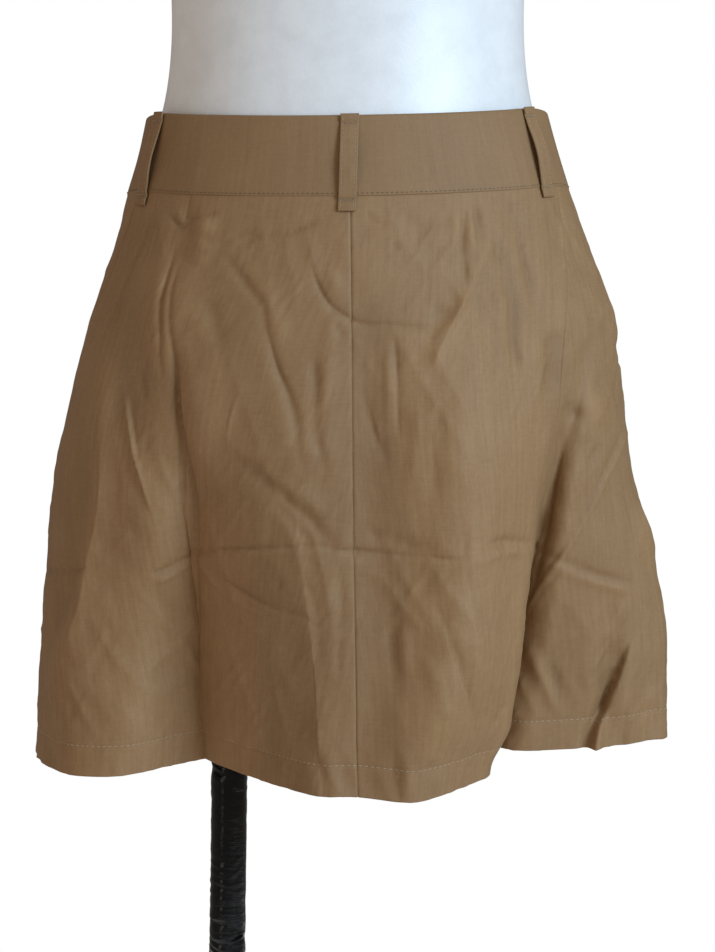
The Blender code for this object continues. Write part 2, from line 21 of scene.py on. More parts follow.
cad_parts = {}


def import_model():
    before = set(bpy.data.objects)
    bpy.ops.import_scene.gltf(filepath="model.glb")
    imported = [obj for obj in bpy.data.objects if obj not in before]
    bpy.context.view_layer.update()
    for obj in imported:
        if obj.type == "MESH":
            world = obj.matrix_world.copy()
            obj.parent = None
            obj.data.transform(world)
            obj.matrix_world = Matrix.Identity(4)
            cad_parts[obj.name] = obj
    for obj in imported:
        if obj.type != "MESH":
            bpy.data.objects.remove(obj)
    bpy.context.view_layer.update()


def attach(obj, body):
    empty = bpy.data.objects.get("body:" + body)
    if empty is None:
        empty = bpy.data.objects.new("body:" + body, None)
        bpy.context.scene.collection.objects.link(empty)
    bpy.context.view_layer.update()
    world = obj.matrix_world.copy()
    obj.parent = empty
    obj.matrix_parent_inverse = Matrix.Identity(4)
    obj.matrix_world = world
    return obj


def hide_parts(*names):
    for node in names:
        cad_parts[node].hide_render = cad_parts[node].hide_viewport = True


LOG = logging.getLogger("skort")
BODY = "root"
MM = 0.001

Array = np.ndarray
Piece = bpy.types.Object
Finish = bpy.types.Material
Socket = bpy.types.NodeSocket

# ---- sizes shared with the model ----
BAND_TOP_Z = 0.693
BAND_SEAM_Z = 0.640
SKIRT_HEM_Z = 0.242
DROP = BAND_SEAM_Z - SKIRT_HEM_Z
BAND_HEIGHT = BAND_TOP_Z - BAND_SEAM_Z
SIT_TILT = 0.0135  # how much lower the left side sits, per metre across
FRONT_DIP = 0.010  # how much lower the waist lies at the front
DIP_FROM, DIP_TO = 60.0, 110.0  # the angles between which it falls
TUCK_SPREAD = 1.6  # how far a fold's slide reaches, in its inner reach
SEAM_HOLD = 0.07  # share of the drop over which the band holds the cloth flat
KEEN_POWER = 1.3  # how fast the walls of a keen fold level out
SEAM_GAP = 0.0003  # between pieces that are sewn or rest on each other
CREASE_GAIN = 1.55  # how much higher creases stand than their tables say
SHARP_NARROW, SHARP_GAIN = 0.8, 1.4  # width and height of sharp creases against soft ones
LAP_WALL = 0.35  # width of a lap's steep wall, in its own width
CREASE_REACH = 4.0  # widths from its line within which a crease is worked out
WAVER, WAVER_PITCH = (0.85, 0.25), 9.0  # how a crease rises and falls along its line

# Each row is a height and half sizes from the axis to the left, right, back and front.
SKIRT_SECTIONS = (
    (0.6400, 0.1523, 0.1528, 0.1108, 0.1072),
    (0.6000, 0.1638, 0.1668, 0.1210, 0.1130),
    (0.5500, 0.1797, 0.1847, 0.1320, 0.1180),
    (0.5000, 0.1932, 0.1912, 0.1390, 0.1220),
    (0.4400, 0.2059, 0.1989, 0.1440, 0.1270),
    (0.3790, 0.2117, 0.2137, 0.1470, 0.1310),
    (0.3075, 0.2171, 0.2247, 0.1490, 0.1350),
    (0.2420, 0.2205, 0.2250, 0.1500, 0.1380),
)
BAND_SECTIONS = (
    (0.6930, 0.1390, 0.1374, 0.1005, 0.0990),
    (0.6650, 0.1453, 0.1455, 0.1064, 0.1040),
    (0.6400, 0.1531, 0.1536, 0.1117, 0.1080),
)
SHORTS_SECTIONS = (
    (0.6400, 0.1499, 0.1504, 0.1087, 0.1050),
    (0.6000, 0.1589, 0.1594, 0.1158, 0.1062),
    (0.5550, 0.1673, 0.1683, 0.1225, 0.1080),
    (0.5200, 0.1686, 0.1696, 0.1230, 0.1080),
    (0.4850, 0.1685, 0.1695, 0.1220, 0.1060),
    (0.3450, 0.1680, 0.1680, 0.1200, 0.1040),
)
FORM_SECTIONS = (
    (0.8450, 0.1121, 0.1121, 0.0790, 0.0790),
    (0.8420, 0.1175, 0.1175, 0.0845, 0.0840),
    (0.8340, 0.1210, 0.1210, 0.0880, 0.0870),
    (0.8000, 0.1224, 0.1224, 0.0892, 0.0880),
    (0.7550, 0.1201, 0.1201, 0.0890, 0.0870),
    (0.7200, 0.1219, 0.1219, 0.0915, 0.0895),
    (0.6900, 0.1270, 0.1270, 0.0971, 0.0935),
    (0.6600, 0.1371, 0.1371, 0.1030, 0.0985),
    (0.6400, 0.1440, 0.1440, 0.1060, 0.1015),
    (0.6000, 0.1539, 0.1539, 0.1125, 0.1035),
    (0.5550, 0.1623, 0.1623, 0.1185, 0.1045),
    (0.5200, 0.1641, 0.1641, 0.1180, 0.1020),
    (0.5000, 0.1584, 0.1584, 0.1115, 0.0960),
    (0.4910, 0.1495, 0.1495, 0.1030, 0.0880),
    (0.4880, 0.1395, 0.1395, 0.0940, 0.0800),
)


# ---- curves and places ----
def smooth(share: Array) -> Array:
    """0 to 1 with level ends."""
    share = np.clip(share, 0.0, 1.0)
    return share * share * (3.0 - 2.0 * share)


def bump(distance: Array, width: float) -> Array:
    """1 at no distance, falling softly to 0 over a few widths."""
    return np.exp(-((distance / width) ** 2))


def unit(vectors: Array) -> Array:
    """The vectors at length one."""
    length = np.linalg.norm(vectors, axis=-1, keepdims=True)
    return vectors / np.maximum(length, 1e-12)


def run_along(points: Array, axis: int = 0) -> Array:
    """Metres from the first point of a line, or of each line of a grid, to the others."""
    run = np.cumsum(np.linalg.norm(np.diff(points, axis=axis), axis=-1), axis=axis)
    return np.concatenate((0 * run.take([0], axis), run), axis=axis)


class Curve:
    """A smooth curve through points with rising x, which never swings past them."""

    def __init__(self, xs: Sequence[float], ys: Sequence[float]) -> None:
        """Works out the slope at each point."""
        self.xs, self.ys = np.array(xs, float), np.array(ys, float)
        steps = np.diff(self.ys) / np.diff(self.xs)
        before, after = steps[:-1], steps[1:]
        same_way = before * after > 0
        total = np.where(same_way, before + after, 1.0)
        inner = np.where(same_way, 2 * before * after / total, 0.0)
        self.slopes = np.concatenate((steps[:1], inner, steps[-1:]))

    def __call__(self, x: Array) -> Array:
        """The values at x."""
        x = np.clip(x, self.xs[0], self.xs[-1])
        i = np.clip(np.searchsorted(self.xs, x, side="right") - 1, 0, len(self.xs) - 2)
        width = self.xs[i + 1] - self.xs[i]
        t = (x - self.xs[i]) / width
        return (
            self.ys[i] * (1 + 2 * t) * (1 - t) ** 2
            + width * self.slopes[i] * t * (1 - t) ** 2
            + self.ys[i + 1] * t * t * (3 - 2 * t)
            - width * self.slopes[i + 1] * t * t * (1 - t)
        )


class SectionStack:
    """A tube given by level sections, smooth between them."""

    def __init__(self, rows: Sequence[Sequence[float]]) -> None:
        """Keeps one curve for each of the four half sizes."""
        columns = list(zip(*sorted(rows)))
        self.sizes = [Curve(columns[0], column) for column in columns[1:]]

    def place(self, angle: Array, z: Array) -> tuple[Array, Array]:
        """Points of the tube.

        Args:
            angle: Degrees round the body.
            z: Heights, one for each angle.

        Returns:
            The points and the level directions out of the tube.
        """
        turn = np.radians(angle)
        sine, cosine = np.sin(turn), np.cos(turn)
        left, right, back, front = (size(z) for size in self.sizes)
        across = np.where(sine > 0, left, right)
        deep = np.where(cosine > 0, back, front)
        point = np.stack((across * sine, deep * cosine, z), axis=-1)
        out = np.stack((sine / across, cosine / deep, np.zeros_like(sine)), axis=-1)
        return point, unit(out)


def waist_dip(angle: Array) -> Array:
    """How far the waist lies below its height at the back."""
    off_centre = np.abs((angle + 180.0) % 360.0 - 180.0)
    return FRONT_DIP * smooth((off_centre - DIP_FROM) / (DIP_TO - DIP_FROM))


def sat(point: Array) -> Array:
    """The points after the garment's small tilt on the form."""
    point = point.copy()
    point[..., 2] -= SIT_TILT * point[..., 0]
    return point


# ---- the drape ----
@dataclass(frozen=True)
class Fold:
    """A valley down the cloth through angles at the seam, half way and at the hem.

    It grows from share `start` of the drop to `end`, or fades the other way. `flatten` is
    the share of the section's depth that it takes, `sink` how far the cloth lies in,
    `tuck` how far the valley slides under its edge and `lift` how far the hem rises. Its
    bottom is round where `keen` is 0 and a sharp line where it is 1.
    """

    seam: float
    mid: float
    hem: float
    start: float
    end: float
    flatten: float
    sink: float
    tuck: float
    lift: float
    inner: float
    outer: float
    plateau: float = 0.0
    keen: float = 0.0

    def line(self, share: Array) -> Array:
        """The valley's angle at shares of the drop."""
        return (
            self.seam * (1 - share) * (1 - 2 * share)
            + self.mid * 4 * share * (1 - share)
            + self.hem * share * (2 * share - 1)
        )

    def press(self, point: Array, out: Array, angle: Array, share: Array) -> None:
        """Moves the points in place to lie in the fold.

        Args:
            point: Points of the smooth skirt.
            out: Level directions out of it.
            angle: Their angles.
            share: Their shares of the drop.
        """
        side = math.copysign(1.0, self.hem)
        amount = smooth((share - self.start) / (self.end - self.start))
        amount = amount * smooth(share / SEAM_HOLD)
        off = angle - self.line(share)
        outside = off * side > 0
        reach = np.where(outside, self.outer, self.inner)
        flat = np.where(outside, self.plateau, 0.0)
        away = np.clip((np.abs(off) / reach - flat) / (1 - flat), 0, 1)
        round_wall, keen_wall = 1 - smooth(away), (1 - away) ** KEEN_POWER
        depth = amount * ((1 - self.keen) * round_wall + self.keen * keen_wall)
        slide_reach = np.minimum(TUCK_SPREAD * self.inner, reach)
        slide = amount * (1 - smooth(np.abs(off) / slide_reach))
        point[..., 1] *= 1 - self.flatten * depth
        point -= out * (self.sink * depth)[..., None]
        point[..., 0] -= side * self.tuck * slide
        point[..., 2] += self.lift * depth * share


FOLDS = (
    Fold(45.5, 33.2, 28.0, 0.20, 1.0, 0.70, 0, 0.006, 0.004, 23, 33, 0.0, 1.0),
    Fold(-78, -47.5, -33.5, 0.22, 1.0, 0.56, 0, 0.026, 0.007, 9, 56, 0.6),
    Fold(-78, -47.5, -33.5, 0.15, 0.85, 0.38, 0, 0, 0, 22, 6),
    Fold(-27, -21.0, -11.5, 0.20, 0.9, -0.05, 0, 0, -0.003, 12, 12),
    Fold(-62, -56.0, -56.0, 0.62, 1.0, 0.16, 0, 0.005, 0, 7, 6),
    Fold(-95, -90.0, -86.0, 0.50, 1.0, 0, 0, 0, 0.0055, 22, 30),
    Fold(43.0, 44.0, 45.0, 0.30, 0, 0, 0.0022, 0, 0, 5, 7),
    Fold(-43, -47.0, -48.0, 0.30, 0, 0, 0.0022, 0, 0, 5, 7),
    Fold(138, 145, 151, 0.20, 1.0, 0.34, 0, 0.004, 0.004, 24, 15),
    Fold(-136, -146, -149, 0.16, 1.0, 0.38, 0, 0.004, 0.004, 22, 14),
)


class Drape:
    """The surfaces that the garment's pieces lie on."""

    def __init__(self) -> None:
        """Builds the tubes of the skirt and of the band."""
        self.skirt_tube = SectionStack(SKIRT_SECTIONS)
        self.band_tube = SectionStack(BAND_SECTIONS)

    def skirt(self, angle: Array, share: Array) -> Array:
        """Points of the draped skirt's outer face."""
        angle, share = np.broadcast_arrays(np.asarray(angle, float), share)
        point, out = self.skirt_tube.place(angle, BAND_SEAM_Z - share * DROP)
        for fold in FOLDS:
            fold.press(point, out, angle, share)
        point[..., 2] -= waist_dip(angle) * (1 - share)
        return sat(point)

    def band(self, angle: Array, share: Array) -> tuple[Array, Array]:
        """Points of the band's outer face, top at share 0, and directions out of it."""
        angle, share = np.broadcast_arrays(np.asarray(angle, float), share)
        z = BAND_TOP_Z - share * BAND_HEIGHT
        point, out = self.band_tube.place(angle, z)
        point[..., 2] -= waist_dip(angle)
        return sat(point), out


# ---- creases ----
class Press(Enum):
    """How a crease stands in the cloth."""

    RIDGE = "soft and raised"
    TROUGH = "soft and hollow"
    EDGE = "sharp and raised"
    NICK = "sharp and hollow"
    LAP = "raised to the viewer's right of its line, with a short steep wall on the left"


@dataclass(frozen=True)
class Crease:
    """One crease: its line on a view's plane, and how high and wide it is there.

    `height` and `width` are in millimetres, `near` and `far` are the shares of its length
    over which it starts and ends, and the line's points are (across, up) in metres.
    """

    press: Press
    height: float
    width: float
    line: tuple[tuple[float, float], ...]
    near: float = 0.3
    far: float = 0.3

    def curve(self) -> Array:
        """The line's points with smooth bends between them."""
        given = np.array(self.line, float)
        if len(given) == 2:
            return np.linspace(given[0], given[1], 4)
        ends = (2 * given[0] - given[1], 2 * given[-1] - given[-2])
        p = np.vstack((ends[0], given, ends[1]))
        pieces = []
        for k in range(1, len(p) - 2):
            t = np.linspace(0, 1, 6, endpoint=k == len(p) - 3)[:, None]
            pieces.append(0.5 * (
                2 * p[k] + (p[k + 1] - p[k - 1]) * t
                + (2 * p[k - 1] - 5 * p[k] + 4 * p[k + 1] - p[k + 2]) * t ** 2
                + (3 * p[k] - p[k - 1] - 3 * p[k + 1] + p[k + 2]) * t ** 3
            ))
        return np.vstack(pieces)

    def heights(self, seen: Array) -> Array:
        """How far the crease moves the cloth.

        Args:
            seen: Places on the view's plane, as rows of (across, up).

        Returns:
            Metres out of the cloth, one for each place.
        """
        width = self.width * MM
        curve = self.curve()
        reach = CREASE_REACH * width
        low, high = curve.min(0) - reach, curve.max(0) + reach
        inside = np.all((seen > low) & (seen < high), axis=1)
        moved = np.zeros(len(seen))
        if not inside.any():
            return moved
        place = seen[inside]
        lengths, run = np.linalg.norm(np.diff(curve, axis=0), axis=1), run_along(curve)
        nearest = np.full(len(place), 9.0)
        share, beyond = np.zeros(len(place)), np.zeros(len(place), bool)
        for k, length in enumerate(lengths):
            step = curve[k + 1] - curve[k]
            t = np.clip((place - curve[k]) @ step / max(length ** 2, 1e-12), 0, 1)
            away = np.linalg.norm(place - curve[k] - t[:, None] * step, axis=1)
            closer = away < nearest
            nearest[closer] = away[closer]
            share[closer] = ((run[k] + t * length) / run[-1])[closer]
            ahead = place - curve[k]
            beyond[closer] = (step[0] * ahead[:, 1] - step[1] * ahead[:, 0] < 0)[closer]
        fade = smooth(share / max(self.near, 1e-3)) if self.near else 1.0
        fade = fade * (smooth((1 - share) / self.far) if self.far else 1.0)
        phase = 40.0 * (self.line[0][0] + 2 * self.line[0][1])
        if self.press is not Press.LAP:
            fade = fade * (WAVER[0] + WAVER[1] * np.sin(WAVER_PITCH * share + phase))
        sharp = self.press in (Press.EDGE, Press.NICK)
        shape = np.exp(-nearest / (width * SHARP_NARROW)) if sharp else bump(nearest, width)
        if self.press is Press.LAP:
            foot = LAP_WALL * width * np.maximum(share, 0.05)
            shape = np.where(beyond, shape, 1 - smooth(nearest / foot))
        sign = -1.0 if self.press in (Press.TROUGH, Press.NICK) else 1.0
        gain = CREASE_GAIN * (SHARP_GAIN if sharp else 1.0)
        moved[inside] = sign * self.height * gain * MM * shape * fade
        return moved


class Chart:
    """A plane on which creases are drawn, and the points that it is seen through."""

    def __init__(self, facing: Callable[[Array], Array]) -> None:
        """Keeps the way from points in the room to places on the plane."""
        self.facing = facing

    def heights(self, creases: Sequence[Crease], points: Array, only: Array) -> Array:
        """The sum of all creases at a grid of points.

        Args:
            creases: The creases drawn on this plane.
            points: Points of the cloth, any shape ending in 3.
            only: 1 where the plane is drawn on this cloth, falling to 0 where it isn't.

        Returns:
            Metres out of the cloth, in the points' shape.
        """
        seen = self.facing(points.reshape(-1, 3))
        total = np.zeros(len(seen))
        for crease in creases:
            total += crease.heights(seen)
        return total.reshape(points.shape[:-1]) * only


def from_behind(points: Array) -> Array:
    """Where sight lines from the viewer's eye meet a plane just behind the back."""
    eye, plane = np.array(VIEWER_EYE), BACK_PLANE_Y
    t = (eye[1] - plane) / (eye[1] - points[:, 1])
    return eye[[0, 2]] + (points[:, [0, 2]] - eye[[0, 2]]) * t[:, None]


def from_front(points: Array) -> Array:
    """Across and up, seen square on from the front."""
    return points[:, [0, 2]]


VIEWER_EYE = (-0.00665, 2.5, 0.824)
VIEW_TILT = 8.83  # degrees below level
VIEW_FOCAL = 3614.0 / 952.0 * 36.0  # millimetres on a 36 mm frame
BACK_PLANE_Y = 0.12


def drawn(table: str) -> tuple[Crease, ...]:
    """Creases from a table.

    Args:
        table: Rows of press, height, width, near and far, and then each point's across
            and up in tenths of a millimetre. A row runs on to the next name.

    Returns:
        The creases, in the table's order.
    """
    creases = []
    for name, numbers in re.findall(r"([a-z]+)([^a-z]+)", table):
        height, width, near, far, *line = map(float, numbers.split())
        points = tuple((x / 10000, z / 10000) for x, z in zip(line[::2], line[1::2]))
        creases.append(Crease(Press[name.upper()], height, width, points, near, far))
    return tuple(creases)


BACK_CREASES = drawn("""
nick 1 2.2 .3 .3  1508 6052 1561 5980 1608 5907
nick 1.5 5 .2 .25  1248 6363 1335 6185 1423 5973 1504 5767 1552 5588 1567 5468
edge .5 1.6 .2 .3  1267 6363 1355 6185 1442 5973 1524 5767 1572 5588
ridge 3.2 15 .4 .3  1131 6171 1172 5920 1194 5654 1203 5388 1218 5154
nick 1.5 2.2 .3 .3  1124 6165 1152 6006 1186 5854 1220 5674 1228 5501 1236 5341 1231 5141
nick 1.6 2.6 .25 0  1105 6006 1140 5807 1161 5608 1162 5508 1144 5301 1133 5034 1101 4805
  1090 4448
nick 1.4 4 .2 .3  1162 5488 1133 5034 1075 4718 1031 4381 1006 4110 988 3770 970 3429
nick .9 1.6 0 .1  1050 4583 1018 4381 993 4110 975 3770 957 3429 946 3086 943 2500
ridge 5.4 22 .4 0  952 4445 918 3838 900 3429 890 3017 886 2450
ridge 2.4 18 .35 .6  1258 5121 1248 4785 1231 4448 1240 4110 1257 3702 1260 3292
trough 1.6 12 .4 .5  1372 5721 1421 5455 1457 5188 1500 4852
edge 1.3 1.5 .25 .25  1497 5134 1466 4967 1428 4738 1370 4563 1318 4401 1285 4313 1273 4198
nick .8 2 .3 .4  1470 5147 1439 4967 1401 4752 1343 4577
trough .9 3 .4 .4  1389 5281 1358 5087 1319 4993
ridge 1.8 7 .2 .2  1573 5501 1622 5208 1639 4899 1644 4448 1687 4178 1743 3954 1779 3722
  1842 3497 1926 3271 1949 3017 1939 2707
edge .7 1.8 .3 .3  1634 4785 1644 4448 1687 4178 1743 3954 1779 3722 1842 3497 1919 3285
trough 1.4 9 .3 .3  1726 4852 1771 4381 1843 3974 1929 3566 1999 3292
nick .7 1.6 0 .3  1036 6429 1057 6317 1077 6224
nick 1.1 2.2 .25 .25  1195 6317 1156 6257 1104 6211 1058 6237 991 6264 906 6284 826 6317
ridge 1.2 6 .4 .4  1058 6138 992 6198 906 6224 827 6237
ridge 1 5 .4 .4  994 5933 966 6052 920 6145
trough .7 2.6 .3 .4  887 6066 794 6119 689 6158 563 6171
nick .9 2 .3 .3  755 6026 709 6099 577 6138 398 6165 293 6204 135 6270
trough 1 3.6 .15 .3  834 6052 730 5900 625 5767 559 5674 533 5521 468 5254 402 5101 349 4920
  336 4765 297 4583 204 4475
nick .6 1.8 .3 .4  546 5601 526 5488 468 5268 402 5107 356 4946
ridge 1 7 .4 .4  690 5973 565 5787 466 5575 401 5321
trough .9 6 .4 .4  942 5787 897 5588 832 5388
ridge .9 8 .4 .4  1008 5721 964 5421 913 5154
nick 1.2 2.3 .18 .25  254 5986 195 5820 115 5688 3 5608 -63 5575 -149 5555 -282 5555 -434 5541
  -639 5541
ridge .8 5 .4 .4  142 5973 76 5820 16 5721
trough .7 3 .4 .3  96 5581 30 5461
trough 1.2 4 .25 .35  242 5421 216 5208 216 5034 216 4839 177 4671 130 4469
ridge 1 6 .3 .35  102 5754 109 5455 143 5121 163 4812
edge .5 1.5 .3 .4  802 4705 781 4899 707 5154
trough 1.3 5 .2 .2  809 4684 716 4630 636 4570 537 4496 431 4381 271 4245 137 4110 -30 4001
ridge 1 6 .3 .4  570 4597 417 4482 237 4347 84 4191
trough .9 4.5 .3 .3  517 4401 418 4266 284 4130 184 4056
nick .9 2.2 .1 .2  2031 3899 1924 3899 1790 3906 1723 3947
nick 1.2 2.4 .25 0  1336 3886 1235 3940 1054 4022
edge .8 2 .3 .1  1323 3838 1222 3886 1067 3961
nick .9 2.2 0 0  1053 4049 853 4049 632 4049 405 4049 204 4062 71 4035 -56 4022
edge .7 1.8 .1 .2  1034 4008 853 4008 632 4008 405 4008 204 4015
nick 1 2.2 0 .2  -56 4022 -284 4008 -505 3995 -772 3974
trough 1 5 .2 .2  -97 4144 -250 4117 -417 4076 -632 4015
edge .6 2 .2 .3  -772 3961 -899 3995 -1019 4049
trough 1.5 3.6 .3 .1  -832 4049 -912 4090 -1066 4103 -1219 4090
ridge .8 3.5 .3 .2  -872 4001 -1019 4035 -1200 4035
edge .7 1.4 .15 .3  1040 4022 921 3886 768 3722 547 3572
nick 1 2 .2 .3  980 4008 854 3893 674 3750 500 3634 299 3566 178 3470
nick .6 1.6 .2 .4  1014 3995 901 3852 748 3688
trough .8 4 .3 .4  338 3920 245 3716 205 3531 206 3155
trough .6 3 .4 .4  459 3872 499 3757
ridge .8 4 .3 .4  171 3995 118 3886 125 3531
trough .7 3 .3 .4  64 3954 44 3702 64 3292 38 3017
ridge .9 5 .4 0  126 2776 112 2569 99 2354
trough .8 5 .4 0  200 2707 187 2354
ridge .8 12 .5 .3  722 3429 704 3017 685 2673
trough .8 12 .5 .1  420 3360 388 2949 369 2465
trough .7 3 .3 .3  -109 6317 -195 6237 -274 6198
trough .7 3 .4 .4  -268 6099 -373 6046
trough .6 3 .3 .3  -379 6402 -498 6382 -663 6356
trough .6 4 .3 .3  -400 6158 -498 6185 -683 6270
ridge 1 3.5 .4 .4  -722 6330 -716 6237 -723 6119
nick 1.3 3 .15 .3  -781 6363 -762 6132 -777 5920 -784 5734
ridge .9 3 .3 .4  -814 6336 -815 6185 -823 5973
trough 1.2 2.6 .1 .3  -834 6409 -861 6231 -868 6079
ridge 1.5 4.5 .2 .2  -946 6264 -941 6119 -875 5986 -830 5900 -784 5774 -712 5608 -633 5475
  -567 5321 -528 5188
edge .8 2 .2 .3  -810 5834 -751 5681 -646 5488 -567 5321 -534 5214
trough 1.2 7 .3 .3  -665 5721 -599 5575 -514 5388
trough 1.6 4.5 .2 .3  -953 6218 -1000 6052 -1061 5946 -1075 5787 -1089 5654 -1090 5455
  -1098 5208 -1100 5020
ridge 1.2 5 .3 .4  -995 5887 -1009 5654 -1024 5421 -1032 5188
nick .9 1.9 0 .3  -1051 6409 -1091 6270 -1125 6165 -1153 6006 -1186 5900 -1227 5721 -1282 5555
ridge .9 5 .4 .4  -1191 6119 -1246 5920 -1307 5721
nick 1.3 2.4 .1 .2  -1420 6382 -1448 6218 -1463 6006 -1471 5787 -1474 5521 -1463 5288
  -1444 5121
ridge 1 4 .2 .2  -1394 6349 -1422 6119 -1432 5787 -1435 5455 -1424 5188
trough 2.4 6 .3 .3  -1394 5555 -1369 5388 -1357 5208 -1359 5040
ridge 1.8 5 .3 .4  -1275 5488 -1244 5321 -1232 5087 -1227 4852
ridge 4.6 20 .3 .3  -694 5188 -735 4785 -770 4381 -786 3974 -794 3566 -823 3155 -838 2742
trough 4 22 .2 0  -100 5950 -110 5321 -126 4516 -137 3974 -133 3429 -130 2880 -117 2465
ridge 6 36 .25 .1  -713 5821 -762 4852 -804 4381 -820 3838 -836 3292 -852 2542
ridge 2.4 12 .3 0  -1505 5054 -1454 4718 -1391 4313 -1314 3974 -1229 3634 -1159 3223 -1094 2742
nick 1.6 2.4 .3 .2  -1451 5154 -1426 4920 -1396 4583 -1352 4245 -1294 3906 -1230 3620
ridge 3 15 .3 .4  985 5456 985 5120 990 4785 1000 4380
trough 4.2 24 .3 0  315 4783 315 4110 300 3429 290 2450
ridge 6.2 21 .35 0  1284 4920 1300 4583 1322 4245 1354 3702 1417 3155 1487 2811 1548 2450
nick 1 2.4 .2 .3  -308 5521 -328 5301 -335 5121 -336 4752
ridge .8 3.5 .3 .3  -262 5421 -276 5121 -289 4852
trough 1 4 .3 .3  -76 5154 -170 4899 -270 4583
trough 1 5 .3 .3  -548 5154 -588 4920 -563 4583 -591 4245
ridge .8 4 .3 .4  -455 5054 -443 4718 -403 4381
edge .5 1.6 .3 .3  -150 5040 -203 4866 -243 4705
edge .8 2.4 .4 .4  -770 4516 -784 4245 -792 4008 -793 3770
trough 1.2 6 .4 .3  -251 3770 -298 3360 -339 2949
ridge .9 5 .4 .4  -405 3702 -379 3360 -433 3017
nick 1.3 3 .25 .15  -559 3729 -633 3552 -667 3408 -709 3175 -743 3038 -777 2859 -791 2673
ridge 1 5 .3 .3  -513 3360 -595 3086 -663 2811
trough .8 2.2 .3 .3  -905 2845 -945 2949 -998 3024
edge .5 1.6 .3 .3  -824 3017 -891 2962 -938 2928
ridge .9 4.5 .4 0  -387 2707 -421 2396
trough .9 4.5 .4 0  -299 2742 -327 2361
trough .9 5 .4 0  -556 2638 -583 2361
""")
# the flap at the hem, drawn straight towards the viewer
WEDGE = drawn("""
lap 7 20 .55 0  -1941 3525 -1883 3360 -1818 3175 -1752 2990 -1700 2825 -1660 2600
trough 2.6 3.6 .75 0  -1941 3525 -1863 3360 -1784 3175 -1705 2990 -1640 2825 -1588 2600
""")
FLANK_CREASES = drawn("""
trough 1.2 5 .2 .5  -1452 5040 -1505 4973 -1579 4893
edge .7 2 .1 .1  -1885 4913 -1814 4711 -1729 4536 -1599 4266 -1421 3974 -1289 3750 -1197 3559
nick .7 2 .15 .3  -1858 4920 -1787 4718 -1703 4550 -1572 4279 -1394 3988 -1269 3770
nick .6 1.6 .3 .2  -1619 4245 -1448 3954 -1329 3750
trough 1 3.2 0 .15  -1240 4076 -1421 3974 -1622 3886 -1871 3818 -1985 3791
ridge .9 4 .2 .2  -1321 3974 -1502 3886 -1690 3818 -1959 3743
trough .8 3.6 .3 .3  -1572 5688 -1679 5535 -1773 5421
ridge .6 6 .3 .3  -1704 5721 -1758 5575 -1786 5421
trough 1 7 .3 .3  -1481 4785 -1601 4718 -1708 4664
ridge 1.2 8 .4 .4  -1610 5188 -1658 4987 -1680 4785
ridge 1.1 4 .25 .3  -1204 3463 -1272 3271 -1382 2997 -1451 2880
trough .8 5 .3 .4  -1291 3429 -1381 3189 -1483 2983
ridge .9 3.2 .3 .3  -1898 3757 -1780 3545 -1708 3360
ridge .7 3 .5 0  -2028 3566 -2045 3292 -2021 3017 -1971 2756
trough .7 3 .5 0  -1899 3086 -1850 2728
ridge 2.4 12 .3 0  -1505 5054 -1454 4718 -1391 4313 -1314 3974 -1229 3634 -1159 3223 -1094 2742
nick 1.6 2.4 .3 .2  -1451 5154 -1426 4920 -1396 4583 -1352 4245 -1294 3906 -1230 3620
ridge 1.4 9 .4 .4  -1982 4583 -2034 4178 -2072 3770
nick 1 2.6 .3 .3  -1786 5468 -1807 5375 -1801 5268
""")
FRONT_CREASES = drawn("""
nick .9 2.3 .15 0  2050 3980 1500 4020 950 3990 400 4030 40 4010
edge .6 1.8 .2 .3  1900 3935 1200 3965 500 3980
nick 1 2.3 0 .15  -40 4020 -600 3990 -1150 4040 -1700 4000 -2120 3960
ridge .8 4 .3 .3  -300 4080 -900 4060 -1500 4090
edge .5 2 .3 .3  1040 5600 1070 5000 1060 4400 1090 3800 1080 3200 1110 2620
nick .7 2.4 .3 .3  -980 5900 -1020 5200 -1000 4500 -1040 3800 -1030 3100
ridge .5 3 .1 .2  340 6220 350 5600 340 5150 260 4890 100 4780
trough 1 3.6 .15 .5  20 4800 -220 4620 -520 4520 -860 4480
trough .9 3.4 .15 .5  60 4740 340 4550 620 4410 880 4360
ridge .9 5 .2 .5  -60 4700 -300 4480 -600 4360
ridge 1 6 .2 .5  120 4620 400 4400 700 4240
nick .9 2.2 .25 .3  1180 6120 900 6000 640 5940 440 5970
ridge .9 5 .4 .4  1080 6040 840 5900 600 5840
nick .8 2.2 .25 .3  -1200 6080 -940 5940 -640 5900 -300 5940
ridge .9 5 .4 .4  -1120 5980 -860 5820 -560 5780
trough 1.1 5 .2 .3  1460 6020 1380 5600 1280 5200 1120 4820
edge .6 1.8 .3 .3  1500 5900 1430 5520 1320 5120
trough 1.2 5 .2 .3  -1480 6040 -1400 5600 -1240 5200 -1000 4880 -780 4700
ridge 1 6 .3 .4  -1360 5900 -1260 5520 -1080 5220
ridge 1.4 14 .5 .1  520 3700 560 3200 580 2620
trough 1.2 12 .5 0  140 3800 160 3200 180 2500
ridge 1.3 12 .5 0  -460 3800 -480 3200 -520 2500
trough 1 5 .2 .4  -780 3920 -720 3520 -600 3220
nick .9 2 .15 .4  800 3980 600 3760 360 3620 140 3560
edge .6 1.6 .15 .4  -1000 4020 -820 3780 -560 3620
nick .8 2 .15 .4  1660 3980 1500 3700 1420 3400
trough 1.2 6 .3 .2  -1600 4700 -1500 4400 -1520 4120
ridge 1.2 7 .4 .4  1680 5200 1760 4700 1780 4250
edge .7 1.8 .2 .3  -1760 5400 -1680 5000 -1500 4620 -1280 4360
trough .9 4.5 .4 0  280 3000 320 2420
ridge .9 4.5 .4 0  -860 3000 -900 2420
""")


